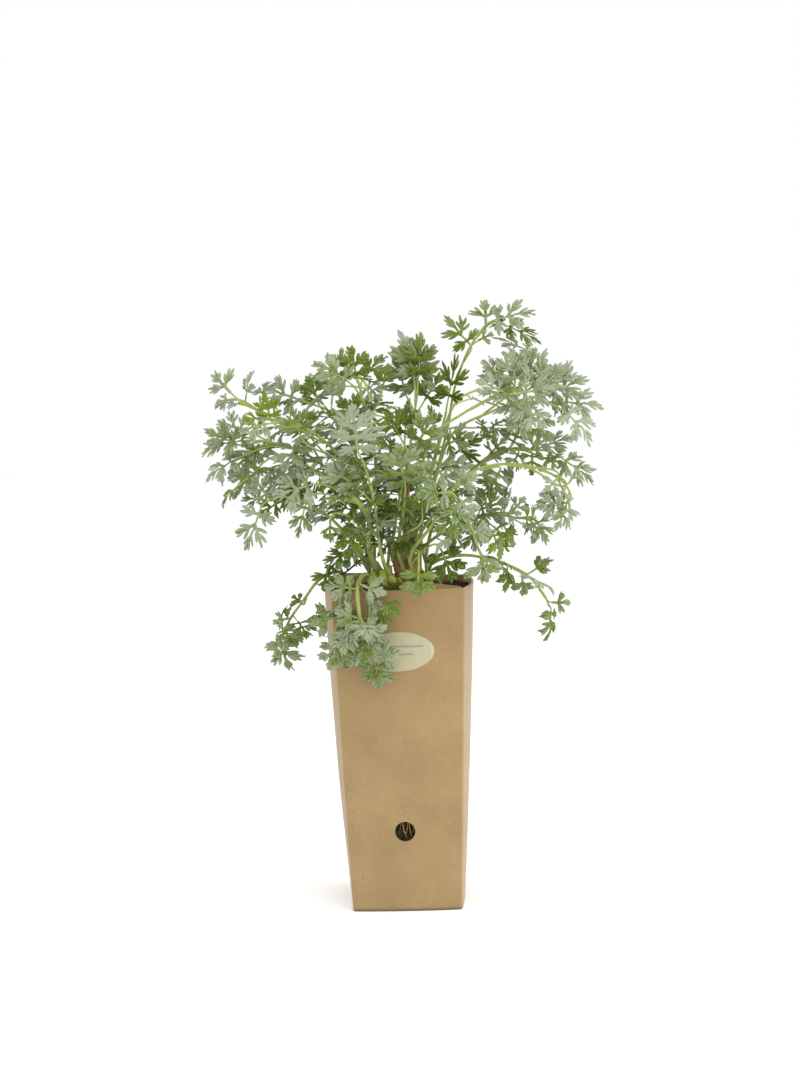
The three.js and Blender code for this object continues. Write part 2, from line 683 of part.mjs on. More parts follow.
// The hidden side of the plant: like shoots, set round the back by a rule
const back = {
  shoots: 4,
  leaves: 3,
  turns: [0.17, 0.88], // shares of the half turn from the right round to the left
  feet: { across: 22, depth: 6, shift: 17 },
  route: [[0.25, 0], [0.45, 0.55], [0.72, 0.92], [1, 1]], // shares of the reach and of the rise
  routeStart: { shift: 14, height: 225 },
  high: { reach: [62, 76], top: [318, 340] },
  low: { reach: [74, 86], top: [268, 284] },
  leafSpacing: 0.13,
  swing: [0.7, 1],
  tipStalk: [4, 6],
  sideStalk: [14, 20],
  size: [26, 34],
  rise: [-8, 4],
  lobes: [5, 3],
  spread: 0.95,
  tilt: 45,
};

function backShoot(index, draw) {
  const turn = Math.PI * (back.turns[0] + ((back.turns[1] - back.turns[0]) * index) / (back.shoots - 1));
  const kind = index % 2 ? back.low : back.high;
  const reach = between(draw, kind.reach);
  const top = between(draw, kind.top);
  const { across, depth, shift } = back.feet;
  const foot = [Math.cos(turn) * across, Math.sin(turn) * depth + shift];
  const route = back.route.map(([out, up]) => [
    Math.cos(turn) * reach * out,
    Math.sin(turn) * reach * out + back.routeStart.shift,
    back.routeStart.height + (top - back.routeStart.height) * up,
  ]);
  const stem = stemCorners({ foot, route });
  const leaves = Array.from({ length: back.leaves }, (_, k) => backLeaf(k, turn, stem, draw));
  return shoot(`shoot_back_${index + 1}`, foot, route, leaves);
}

// The first leaf ends the stem, and the others stand to its two sides in turn
function backLeaf(k, turn, stem, draw) {
  const side = [0, 1, -1][k % 3];
  const swing = turn + side * between(draw, back.swing);
  const way = new THREE.Vector3(Math.cos(swing), Math.sin(swing), 0);
  const rise = between(draw, back.rise);
  const along = 1 - back.leafSpacing * k;
  const base = stemPoint(stem, along)
    .addScaledVector(way, between(draw, side ? back.sideStalk : back.tipStalk))
    .add(new THREE.Vector3(0, 0, rise / 2));
  const tip = base.clone()
    .addScaledVector(way, between(draw, back.size))
    .add(new THREE.Vector3(0, 0, rise));
  return leaf(along, base.toArray(), tip.toArray(), back.lobes[k % 2], back.spread, back.tilt, turn);
}

const leafSeed = 104729;
const backSeed = 577;
const leavesPerShoot = 10; // room in the numbering

// The plan made ready: each leaf gets its length and its own small turns
function finished(leafPlan, number) {
  const leafDraw = seededDraws(leafSeed * (number + 1));
  const length = new THREE.Vector3(...leafPlan.tip).distanceTo(new THREE.Vector3(...leafPlan.base));
  return {
    ...leafPlan,
    length,
    spread: leafPlan.spread * bladeWidening,
    roll: between(leafDraw, rollRange),
    arch: bladeArch * between(leafDraw, archRange),
    cup: bladeCup * between(leafDraw, cupRange),
    facing: leafPlan.facing + between(leafDraw, facingRange),
  };
}

const backDraw = seededDraws(backSeed);
const shoots = [
  ...frontShoots,
  ...Array.from({ length: back.shoots }, (_, index) => backShoot(index, backDraw)),
];

function shootSolid(plan, index) {
  const stem = stemCorners(plan);
  const leaves = plan.leaves.map((one, k) => leafSolid(finished(one, leavesPerShoot * index + k), stem));
  return joined([stemSolid(plan, stem), ...leaves]);
}

// The woody foot of the plant
function woodyTrunk() {
  const route = [
    [0, 0, soilLevel - footDepth],
    [0, 0, soilLevel + stemStraight],
    [-1.5, -1, 215],
    [1.5, 1, 232],
    [0.5, -1, 250],
    [3, 0, trunkTop.height],
  ].map(([x, y, z]) => new THREE.Vector3(trunkFoot.x + x, trunkFoot.y + y, z));
  const points = new THREE.CatmullRomCurve3(route, false, "centripetal").getSpacedPoints(trunkSteps);
  const radii = points.map((_, i) => {
    const swell = i > 0 && i % trunkKnot.everySteps === 0 ? trunkKnot.swell : 1;
    return (trunkFoot.radius + ((trunkTop.radius - trunkFoot.radius) * i) / trunkSteps) * swell;
  });
  return geometryOf(taperedTube(points, radii, trunkFoot.sides));
}

const feet = [
  { ...trunkFoot, radius: trunkFoot.radius / Math.cos(Math.PI / trunkFoot.sides) },
  ...shoots.map(({ foot }) => ({ x: foot[0], y: foot[1], radius: stemRadius.foot, sides: stemSides })),
];

const finishes = {
  board: new THREE.MeshStandardMaterial({ color: 0xac9162, roughness: 0.9, metalness: 0 }),
  sticker: new THREE.MeshStandardMaterial({ color: 0xd2c89b, roughness: 0.6, metalness: 0 }),
  soil: new THREE.MeshStandardMaterial({ color: 0x3a2a1c, roughness: 1, metalness: 0 }),
  bark: new THREE.MeshStandardMaterial({ color: 0x6e5238, roughness: 0.95, metalness: 0 }),
  felt: new THREE.MeshStandardMaterial({ color: 0x94a583, roughness: 0.85, metalness: 0 }),
};

const plant = new THREE.Group();

function place(name, geometry, finish) {
  const mesh = new THREE.Mesh(geometry, finish);
  mesh.name = name;
  plant.add(mesh);
}

place("cardboard_pot", cardboardPot(), finishes.board);
place("oval_label", ovalLabel(), finishes.sticker);
place("potting_soil", pottingSoil(feet), finishes.soil);
place("woody_trunk", woodyTrunk(), finishes.bark);
shoots.forEach((plan, index) => {
  place(plan.name, geometryOf(shootSolid(plan, index)), finishes.felt);
});

export default plant;
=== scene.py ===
# %% [markdown]
# # A silver wormwood in a folded cardboard pot
#
# The real object is a young herb: deep-cut, felted grey-green leaves on arching stems, soil with
# a knotted woody trunk in it, and a tall tapered cardboard pot with an air hole and an oval label.
# The packed CAD model gives every size and place. This script makes a finer piece for each of its
# parts, in the same form, and adds what is only looks. Lengths in the plan are millimetres, and
# each mesh is made in metres.

# %% Load the packed frame
import math
from functools import cached_property

import bmesh
import bpy
import numpy as np
from mathutils import Matrix, Vector, noise
from mathutils.geometry import delaunay_2d_cdt


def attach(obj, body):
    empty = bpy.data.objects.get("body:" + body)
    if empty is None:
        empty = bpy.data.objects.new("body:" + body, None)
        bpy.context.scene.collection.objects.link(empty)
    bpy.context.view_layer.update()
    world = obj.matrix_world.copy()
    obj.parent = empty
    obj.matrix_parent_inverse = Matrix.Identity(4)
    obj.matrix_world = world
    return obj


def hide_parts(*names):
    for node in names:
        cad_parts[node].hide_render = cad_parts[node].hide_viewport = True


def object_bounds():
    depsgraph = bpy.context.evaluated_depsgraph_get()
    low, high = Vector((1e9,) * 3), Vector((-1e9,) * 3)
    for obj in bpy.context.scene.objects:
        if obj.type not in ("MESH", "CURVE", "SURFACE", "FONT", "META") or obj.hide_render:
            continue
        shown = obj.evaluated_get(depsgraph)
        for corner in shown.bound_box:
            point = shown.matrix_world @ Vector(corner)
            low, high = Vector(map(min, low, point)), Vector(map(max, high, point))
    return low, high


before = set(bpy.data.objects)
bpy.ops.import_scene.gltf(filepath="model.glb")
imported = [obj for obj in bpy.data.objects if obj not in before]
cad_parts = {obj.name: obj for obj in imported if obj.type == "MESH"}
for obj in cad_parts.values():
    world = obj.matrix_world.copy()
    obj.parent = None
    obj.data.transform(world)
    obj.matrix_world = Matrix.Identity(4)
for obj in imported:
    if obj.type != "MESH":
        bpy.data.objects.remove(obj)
cad_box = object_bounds()
MM = 0.001
print("CAD box, mm:", [[round(v / MM, 1) for v in corner] for corner in cad_box])

# %% [markdown]
# ## Camera
#
# The camera was fitted to the corners of the pot, so that the pot's edges and the leaf tips fall
# where a photographer's camera would see them. A camera could be aimed with a Track To constraint,
# but here its three directions are computed, because the picture is also rolled by a small angle.

# %% Camera
AZIMUTH, ELEVATION, ROLL = (math.radians(angle) for angle in (2.3, 4.6, 1.75))
CAMERA_DISTANCE = 1.2
CAMERA_TARGET = Vector((0.0009, 0, 0.2308))
PHOTO_HEIGHT, FOCAL_LENGTH, SENSOR = 1067, 1919, 36  # the first two in pixels, the last in mm


def camera_axes():
    back = Vector((math.sin(AZIMUTH) * math.cos(ELEVATION), -math.cos(AZIMUTH) * math.cos(ELEVATION),
                   math.sin(ELEVATION)))
    right = Vector((0, 0, 1)).cross(back).normalized()
    up = back.cross(right)
    turned_right = right * math.cos(ROLL) - up * math.sin(ROLL)
    turned_up = up * math.cos(ROLL) + right * math.sin(ROLL)
    return turned_right, turned_up, back


def in_scene(name, data):
    thing = bpy.data.objects.new(name, data)
    bpy.context.scene.collection.objects.link(thing)
    return thing


camera_data = bpy.data.cameras.new("camera")
camera_data.sensor_width = SENSOR
camera_data.lens = FOCAL_LENGTH / PHOTO_HEIGHT * SENSOR
camera = in_scene("camera", camera_data)
axes = camera_axes()
for row in range(3):
    for column in range(3):
        camera.matrix_world[row][column] = axes[column][row]
camera.location = CAMERA_TARGET + axes[2] * CAMERA_DISTANCE
bpy.context.scene.camera = camera
print("lens, mm:", round(camera_data.lens, 2))

# %% [markdown]
# ## Tools for node materials
#
# A finish is a node material. Written out node by node, each one is long, so a small class keeps
# the steps that all of them share: `speckle` is a noise, `layer` lays a colour over another where
# a pattern is high, and `relief` is a bump. Each pattern reads Object coordinates, in metres, so a
# noise scale of 1000 means details of about a millimetre. A value that is the same all over the
# surface is set on the shader's own socket.

# %% Material helpers
def add_node(tree, kind, settings, inputs):
    """Adds a node. settings are its properties. An input is named by its label, or by its number
    after the letter i, and is given a value, a socket, or a list of sockets."""
    node = tree.nodes.new(kind)
    for key, value in (settings or {}).items():
        setattr(node, key, value)
    for key, value in inputs.items():
        socket = node.inputs[int(key[1:]) if key[1:].isdigit() else key.replace("_", " ")]
        for one in value if isinstance(value, list) else [value]:
            if isinstance(one, bpy.types.NodeSocket):
                tree.links.new(one, socket)
            else:
                socket.default_value = one
    return node


def linear(levels):
    """Three 8-bit screen levels as the linear colour that a shader needs."""
    shares = [level / 255 for level in levels]
    return (*(v / 12.92 if v <= 0.04045 else ((v + 0.055) / 1.055) ** 2.4 for v in shares), 1)


class Finish:
    """A material and its node steps. A colour is a socket or three screen levels."""

    def __init__(self, name, roughness, **constants):
        self.material = bpy.data.materials.new(name)
        self.material.use_nodes = True
        self.surface = self.material.node_tree.nodes["Principled BSDF"]
        for socket, value in {"Roughness": roughness, **constants}.items():
            self.surface.inputs[socket.replace("_", " ")].default_value = value

    def knot(self, kind, settings=None, **inputs):
        return add_node(self.material.node_tree, "ShaderNode" + kind, settings, inputs)

    @cached_property
    def at(self):
        return self.knot("TexCoord").outputs["Object"]

    def speckle(self, scale, detail=3, rough=0.6, at=None):
        return self.knot("TexNoise", Vector=at or self.at, Scale=scale, Detail=detail,
                         Roughness=rough).outputs["Fac"]

    def mark(self, name, output="Fac"):
        """What a piece carries for each point or leaf."""
        return self.knot("Attribute", {"attribute_name": name}).outputs[output]

    def axis(self, name, of=None):
        return self.knot("SeparateXYZ", Vector=of or self.at).outputs[name]

    def stretch(self, value, low, high, to_low=0.0, to_high=1.0):
        """Maps a range of a value to another range, with clamped ends."""
        return self.knot("MapRange", Value=value, From_Min=low, From_Max=high, To_Min=to_low,
                         To_Max=to_high).outputs["Result"]

    def blend(self, share, first, second):
        first, second = (linear(one) if isinstance(one, tuple) else one for one in (first, second))
        return self.knot("Mix", {"data_type": "RGBA"}, i0=share, i6=first, i7=second).outputs[2]

    def layer(self, under, over, value, low, high, least=0.0, most=1.0):
        """A colour over another, as a value goes from low to high."""
        return self.blend(self.stretch(value, low, high, least, most), under, over)

    def maths(self, operation, first, second=0.0):
        return self.knot("Math", {"operation": operation}, i0=first, i1=second).outputs[0]

    def paint(self, source):
        self.material.node_tree.links.new(source, self.surface.inputs["Base Color"])

    def relief(self, height, depth):
        """Bump from a height pattern, with its depth in metres."""
        bump = self.knot("Bump", Strength=1.0, Distance=depth, Height=height)
        self.material.node_tree.links.new(bump.outputs["Normal"], self.surface.inputs["Normal"])


def mottled_finish(name, roughness, gloss, dark, pale, scale, low, high, detail=3, depth=None):
    """A finish of one noise between two colours. It also raises the surface if depth is given."""
    finish = Finish(name, roughness, Specular_IOR_Level=gloss)
    mottle = finish.speckle(scale, detail)
    finish.paint(finish.layer(dark, pale, mottle, low, high))
    if depth:
        finish.relief(mottle, depth)
    return finish


print("a mid grey level in a shader:", round(linear((128, 128, 128))[0], 3))

# %% [markdown]
# ## Tools for meshes
#
# Every piece is made from lists of points and faces, which is the most direct way for shapes that
# follow formulas. A few small helpers turn such lists into an object, and others join them.

# %% Mesh helpers
pieces = []


def new_mesh(name, points, faces, finish=None, marks=None, edges=()):
    """A mesh from points in millimetres. marks are named numbers or vectors for each point."""
    mesh = bpy.data.meshes.new(name)
    mesh.from_pydata((np.asarray(points, float) * MM).tolist(), edges, [tuple(map(int, f)) for f in faces])
    for mark, values in (marks or {}).items():
        values = np.asarray(values, np.float32)
        kind, key = ("FLOAT", "value") if values.ndim == 1 else ("FLOAT_VECTOR", "vector")
        mesh.attributes.new(mark, kind, "POINT").data.foreach_set(key, values.ravel())
    mesh.shade_smooth()
    if finish:
        mesh.materials.append(finish.material)
    return mesh


def new_piece(name, *parts):
    return in_scene(name, new_mesh(name, *parts))


def flipped(faces):
    return [tuple(reversed(face)) for face in faces]


def joined(parts):
    """Points and faces of several shapes as those of one."""
    points, faces = [], []
    for corners, own in parts:
        faces += [tuple(i + len(points) for i in face) for face in own]
        points += [tuple(corner) for corner in corners]
    return points, faces


def band(first, second, count):
    """Faces between two rings of a shell, numbered by their first points."""
    return [(first + i, first + (i + 1) % count, second + (i + 1) % count, second + i)
            for i in range(count)]


def bands(rings, count):
    return [face for k in range(rings - 1) for face in band(k * count, (k + 1) * count, count)]


def plain_mesh(piece):
    """Turns a piece with live modifiers into a piece with none."""
    bpy.context.view_layer.update()
    graph = bpy.context.evaluated_depsgraph_get()
    mesh = bpy.data.meshes.new_from_object(
        piece.evaluated_get(graph), preserve_all_data_layers=True, depsgraph=graph)
    piece.modifiers.clear()
    piece.data = mesh
    return piece


def finish_piece(piece, slot, *nodes):
    """The piece rides on the only body and stands for CAD nodes. slot is not used."""
    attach(piece, "root")
    if nodes:
        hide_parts(*nodes)
    pieces.append(piece)
    piece.data.calc_loop_triangles()
    print(f"{piece.name}: {len(piece.data.loop_triangles)} triangles, for {', '.join(nodes) or 'no node'}")


def seeded_draws(seed):
    """The same random draws as the CAD source makes."""
    while True:
        seed = seed * 48271 % 2147483647
        yield seed / 2147483647


def between(draw, limits):
    return limits[0] + (limits[1] - limits[0]) * next(draw)


print("first draw of seed 1:", next(seeded_draws(1)))

# %% [markdown]
# ## Floor and light
#
# The pot stands on a plain pale floor under soft studio light. Soft light comes from large lamps:
# one wide area lamp above, one in front, one to each side, and a bright plain world. A small lamp
# would draw hard shadows through the leaves.

# %% Floor and light
FLOOR_HALF, FLOOR_DROP = 6000, 0.2
WHITE, WORLD_LIGHT = (1, 1, 1, 1), 1.0
LAMPS = {  # place, size, power
    "lamp_above": ((0.2, -0.9, 2.2), 1.8, 18),
    "lamp_front": ((0.3, -2.4, 1.0), 1.3, 6),
    "lamp_right": ((2.2, -0.2, 0.8), 1.4, 28),
    "lamp_left": ((-2.1, -0.5, 0.9), 1.4, 9),
}

floor_finish = Finish("pale_floor", 0.9, Base_Color=(0.995, 0.995, 0.995, 1))
floor = new_piece("floor", [(x * FLOOR_HALF, y * FLOOR_HALF, -FLOOR_DROP)
                            for x, y in ((-1, -1), (1, -1), (1, 1), (-1, 1))], [(0, 1, 2, 3)], floor_finish)

world = bpy.data.worlds.new("studio")
world.use_nodes = True
for socket, value in {"Color": WHITE, "Strength": WORLD_LIGHT}.items():
    world.node_tree.nodes["Background"].inputs[socket].default_value = value
bpy.context.scene.world = world
for lamp_name, (place, size, power) in LAMPS.items():
    lamp_data = bpy.data.lights.new(lamp_name, "AREA")
    lamp_data.size, lamp_data.energy = size, power
    lamp = in_scene(lamp_name, lamp_data)
    lamp.location = place
    lamp.rotation_euler = (CAMERA_TARGET - Vector(place)).to_track_quat("-Z", "Y").to_euler()
bpy.context.scene.view_settings.view_transform = "Standard"
print("lamps:", ", ".join(LAMPS))

# %% [markdown]
# ## Kraft board
#
# The pot is brown kraft board: a warm tan with darker and lighter specks of fibre, faint streaks
# along the sheet, and a dull surface. Its colour also holds painted light: painted shade under the
# rim, where the leaves hang over it, a painted contact shadow with the darker cut edge of the board
# along the foot, and an inside painted lighter to make up for the shade in the pot. An image texture
# would be quick, but a node material stays sharp at any distance. Noise at several sizes gives
# clouds, streaks and specks, one over the other.

# %% Kraft board material
kraft = Finish("kraft_board", 0.68, Specular_IOR_Level=0.45, Sheen_Weight=0.2)
sheet_way = kraft.knot("Mapping", Vector=kraft.at, Scale=(1, 1, 0.06)).outputs[0]
streak, fibre, height = kraft.speckle(900, 2, at=sheet_way), kraft.speckle(1500, 2, 0.7), kraft.axis("Z")
tan = kraft.layer((142, 116, 73), (154, 128, 85), kraft.speckle(28, 4), 0.35, 0.65)
tan = kraft.layer(tan, (142, 116, 76), streak, 0.4, 0.7, 0, 0.2)
tan = kraft.layer(tan, (192, 168, 126), kraft.speckle(560, 1, 0.5), 0.69, 0.77, 0, 0.4)  # pale flecks
tan = kraft.layer(tan, (120, 88, 50), kraft.speckle(610, 1, 0.4), 0.69, 0.75, 0, 0.45)  # dark flecks
# Painted light: the board inside the pot lies in shade, so it is painted lighter than the outside.
painted_light_inside = kraft.layer((158, 124, 74), (186, 154, 102), fibre, 0.35, 0.65)
tan = kraft.blend(kraft.mark("inside"), tan, painted_light_inside)
# Painted shade: the board is darker just under the rim, where the leaves hang over it.
tan = kraft.layer(tan, (132, 100, 52), height, 0.165, 0.205, 0, 0.45)  # under the rim
# Painted shadow: the lowest 2 mm are much darker, a contact shadow with the dark cut edge of the board.
kraft.paint(kraft.layer(tan, (70, 46, 26), height, 0.0003, 0.0022, 0.75, 0))  # the foot
kraft.relief(kraft.maths("ADD", fibre, streak), 0.00012)
print("kraft board:", len(kraft.material.node_tree.nodes), "nodes")

# %% [markdown]
# ## The folded pot
#
# Four bowed sides meet in soft folded creases, the rim rises at the back left corner, and the
# front has a round air hole. The sides follow the same rule as the CAD source, with many more
# points: each crease becomes a small arc, the left and right sides swell a little more, and the
# sheet gets shallow dents that only go inwards, so that the pot stays inside its CAD box. A
# Boolean cuts the hole, because a round hole through a curved wall is hard to lay out by hand.

# %% Shape of the pot
POT = {"height": 200, "rim": (81, 5.2), "base": (67.4, 1.4), "board": 1.2, "floor": 2.4}
RIM_RAISE, RAISE_START = 3, 0.35
CREASE_START = 0.955  # where a side turns into the crease, as a share of its half
AIR_HOLE = {"radius": 6.25, "height": 50.3, "sides": 48, "cut": (-60, -20)}
SIDE_SWELL = (0, 1.0, 0, 2.9)  # how far front, right, back and left bulge past the CAD pot, mm
SWELL_TURN, SWELL_POWER = 0.82 * math.pi, 0.75  # the swell is largest above the middle
SIDE_POINTS, CREASE_POINTS, WALL_RINGS = 22, 5, 40
FOOT_BEVEL = (0.5, 0.45)  # its height and how far it goes in
DENT = {"depth": 0.006, "scale": 0.035, "stretch": 0.6, "start": 30}


def size_at(height):
    """Half the width between creases, and how far a side bows out, at a height."""
    share = height / POT["height"]
    crease, bow = (low + (high - low) * share for low, high in zip(POT["base"], POT["rim"]))
    return crease / 2, bow


def front_at(x, z):
    half, bow = size_at(z)
    return -(half + bow * (1 - (x / half) ** 2))


def section_at(height, inset):
    """One closed ring of x, y points, each side's followed by the arc of the crease after it."""
    half, even_bow = size_at(height)
    swell = math.sin(SWELL_TURN * (height / POT["height"]) ** SWELL_POWER)
    ring = []
    for quarter in range(4):
        turn = quarter * math.pi / 2
        bow, next_bow = (even_bow + SIDE_SWELL[k % 4] * swell for k in (quarter, quarter + 1))
        side = []
        for i in range(SIDE_POINTS):
            u = CREASE_START * (2 * i / (SIDE_POINTS - 1) - 1)
            side.append(((half - inset) * u, inset - half - bow * (1 - u * u)))
        x, y = side[-1]
        out, up = (half - inset - x + one_bow * (1 - CREASE_START ** 2) for one_bow in (next_bow, bow))
        for i in range(1, CREASE_POINTS):
            angle = math.pi / 2 * i / CREASE_POINTS
            side.append((x + out * math.sin(angle), y + up * (1 - math.cos(angle))))
        ring += [(math.cos(turn) * a - math.sin(turn) * b, math.sin(turn) * a + math.cos(turn) * b)
                 for a, b in side]
    return ring


def rim_height(x, y):
    return POT["height"] + RIM_RAISE * max(0, (y - x) / POT["rim"][0] - RAISE_START) / (1 - RAISE_START)


def dent(x, y, z):
    """Shallow dents in the board, as a share to shrink by."""
    depth = noise.noise(Vector((x, y, z * DENT["stretch"])) * DENT["scale"])
    return DENT["depth"] * max(0, depth) * min(1, z / DENT["start"])


def wall_ring(height, inset):
    points = []
    for x, y in section_at(height, inset):
        shrink = 1 - dent(x, y, height)
        points.append((x * shrink, y * shrink, rim_height(x, y) if height == POT["height"] else height))
    return points


print("width at the foot and at the rim, mm:", [2 * sum(size_at(z)) for z in (0, POT["height"])])


# %% Build the pot
def folded_pot():
    foot, foot_inset = FOOT_BEVEL
    heights = [foot + (POT["height"] - foot) * i / WALL_RINGS for i in range(WALL_RINGS + 1)]
    rings = [wall_ring(0, foot_inset)] + [wall_ring(z, 0) for z in heights]
    outside = len(rings)
    rings += [wall_ring(z, POT["board"]) for z in reversed(heights) if z > POT["floor"]]
    rings.append(wall_ring(POT["floor"], POT["board"]))
    count, last = len(rings[0]), (len(rings) - 1) * len(rings[0])
    faces = bands(len(rings), count) + [tuple(reversed(range(count))), tuple(range(last, last + count))]
    # Inner rings get the inner board colour, which is painted lighter for the shade in the pot.
    inside = [0.0 if k < outside else 1.0 for k in range(len(rings)) for _ in range(count)]
    return new_piece("folded_pot", [p for ring in rings for p in ring], faces, kraft, {"inside": inside})


def round_cutter(radius, height, sides, depths):
    points = [(math.cos(math.tau * i / sides) * radius, y, height + math.sin(math.tau * i / sides) * radius)
              for y in depths for i in range(sides)]
    faces = [(i, i + sides, (i + 1) % sides + sides, (i + 1) % sides) for i in range(sides)]
    faces += [tuple(range(sides)), tuple(reversed(range(sides, 2 * sides)))]
    return new_piece("cutter", points, faces, kraft)


pot = folded_pot()
cutter = round_cutter(AIR_HOLE["radius"], AIR_HOLE["height"], AIR_HOLE["sides"], AIR_HOLE["cut"])
hole = pot.modifiers.new("cut", "BOOLEAN")
hole.object, hole.operation, hole.solver = cutter, "DIFFERENCE", "EXACT"
plain_mesh(pot)
bpy.data.objects.remove(cutter)
pot.data.shade_smooth()
pot.data.set_sharp_from_angle(angle=math.radians(40))
finish_piece(pot, "board", "cardboard_pot")

# %% [markdown]
# ## The oval label
#
# A small cream sticker lies on the bowed front. It could be a Shrinkwrap of a flat oval, but the
# formula of the front is at hand, so each point gets its depth from it. Its back sinks a little
# into the board, so that no gap shows. The material draws two plain thin lines on it from Object
# coordinates, because a shape for each of them would be thinner than paper.

# %% Label material
LABEL = {"x": -1, "z": 162.5, "width": 44.6, "height": 24.4, "front": 0.3, "back": -0.1, "edge": 0.12,
         "rings": 8, "sides": 72}
THIN_LINES = ((3.2, 27), (-1.6, 15))  # height above the middle, length
LINE_SHIFT, LINE_HALF, LINE_FADE = 2, (0.45, 0.7), 0.5

paper = Finish("cream_paper", 0.5, Specular_IOR_Level=0.4)
mottle = paper.speckle(600, 3)
cream = paper.layer((168, 161, 128), (178, 171, 139), mottle, 0.3, 0.7)
for rise, length in THIN_LINES:
    off_line, off_middle = (
        paper.maths("ABSOLUTE", paper.maths("SUBTRACT", paper.axis(axis), middle * MM))
        for axis, middle in (("Z", LABEL["z"] + rise), ("X", LABEL["x"] + LINE_SHIFT)))
    share = paper.maths(
        "MULTIPLY", paper.stretch(off_line, *(v * MM for v in LINE_HALF), 0.6, 0),
        paper.stretch(off_middle, length / 2 * MM, (length / 2 + LINE_FADE) * MM, 1, 0))
    cream = paper.blend(share, cream, (104, 120, 128))
paper.paint(cream)
paper.relief(mottle, 0.00002)
print("label, mm:", LABEL["width"], "by", LABEL["height"])


# %% Build the label
def oval_label():
    rings, sides, points = LABEL["rings"], LABEL["sides"], []
    for depth in (LABEL["front"], LABEL["back"]):
        for ring in range(rings + 1):
            share = ring / rings
            for i in range(sides):
                angle = math.tau * i / sides
                x = LABEL["x"] + math.cos(angle) * share * LABEL["width"] / 2
                z = LABEL["z"] + math.sin(angle) * share * LABEL["height"] / 2
                thin = LABEL["edge"] * share ** 8 if depth == LABEL["front"] else 0
                points.append((x, front_at(x, z) - depth + thin, z))
    back, last = (rings + 1) * sides, rings * sides
    faces = []
    for start in range(0, last, sides):
        faces += band(start, start + sides, sides) + flipped(band(back + start, back + start + sides, sides))
    faces += flipped(band(back + last, last, sides))
    piece = new_piece("oval_sticker", points, faces, paper)
    shape = bmesh.new()
    shape.from_mesh(piece.data)
    bmesh.ops.remove_doubles(shape, verts=shape.verts, dist=1e-6)
    bmesh.ops.recalc_face_normals(shape, faces=shape.faces)
    shape.to_mesh(piece.data)
    shape.free()
    return piece


finish_piece(oval_label(), "sticker", "oval_label")

# %% [markdown]
# ## Potting soil
#
# Moist dark soil fills the pot to just under the rim, with a crumbly top that is heaped a little
# in front, under the crown. The body is one closed grid, raised and lowered by noise, with a
# hollow behind the air hole. Hundreds of crumbs on it are the same few lumps again, which is what
# Geometry Nodes are for: they scatter points on the top and put a lump on each.

# %% Soil material
loam = Finish("moist_soil", 0.95, Specular_IOR_Level=0.2)
clod, grit = loam.speckle(260, 5, 0.7), loam.speckle(1500, 3, 0.7)
earth = loam.layer((34, 24, 15), (92, 70, 48), clod, 0.35, 0.68)
earth = loam.layer(earth, (70, 86, 34), loam.speckle(90, 3), 0.56, 0.7, 0, 0.6)  # green film
loam.paint(loam.layer(earth, (140, 116, 84), grit, 0.62, 0.74, 0, 0.6))
loam.relief(loam.maths("ADD", clod, grit), 0.0009)
print("soil:", len(loam.material.node_tree.nodes), "nodes")

# %% Build the soil
SOIL = {"level": 195, "rise": 0.4, "relief": 0.96, "inset": 1.5, "rings": 26, "lumps": 0.16,
        "fractal": (0.7, 2.1, 4),
        "sides": (3, 20, 36, 40, 43, 46, 49, 52, 55, 58, 61, 64, 90, 130, 170, 194)}
POCKET = {"radius": 8.5, "depth": 7}  # behind the air hole
HEAP = {"middle": (-1, -34), "reach": (11, 7), "height": 7.5, "lumps": 0.2}


def soil_height(x, y):
    lumps = noise.fractal(Vector((x, y, 3)) * SOIL["lumps"], *SOIL["fractal"])
    away = sum(((v - middle) / reach) ** 2
               for v, middle, reach in zip((x, y), HEAP["middle"], HEAP["reach"]))
    heap = HEAP["height"] * math.exp(-away) * (1 + HEAP["lumps"] * lumps)
    return SOIL["level"] + SOIL["rise"] + SOIL["relief"] * max(-1, min(1, lumps)) + heap


def potting_soil():
    """A closed body: its foot, its sides up to the top, and rings inwards over the top."""
    rings = []
    for z in SOIL["sides"]:
        ring = []
        for x, y in section_at(z, SOIL["inset"]):
            from_hole = math.hypot(x, z - AIR_HOLE["height"]) / POCKET["radius"]
            if y < 0 and from_hole < 1:
                y += POCKET["depth"] * math.sqrt(1 - from_hole ** 2)
            ring.append((x, y, z))
        rings.append(ring)
    edge = section_at(SOIL["level"], SOIL["inset"])
    for k in range(SOIL["rings"]):
        share = 1 - k / SOIL["rings"]
        rings.append([(x * share, y * share, soil_height(x * share, y * share)) for x, y in edge])
    count, last = len(edge), (len(rings) - 1) * len(edge)
    points = [point for ring in rings for point in ring] + [(0, 0, soil_height(0, 0))]
    faces = bands(len(rings), count) + [tuple(reversed(range(count)))]
    faces += [(last + i, last + (i + 1) % count, len(points) - 1) for i in range(count)]
    return new_piece("potting_mix", points, faces, loam)


soil = potting_soil()
print("soil level, mm:", SOIL["level"])


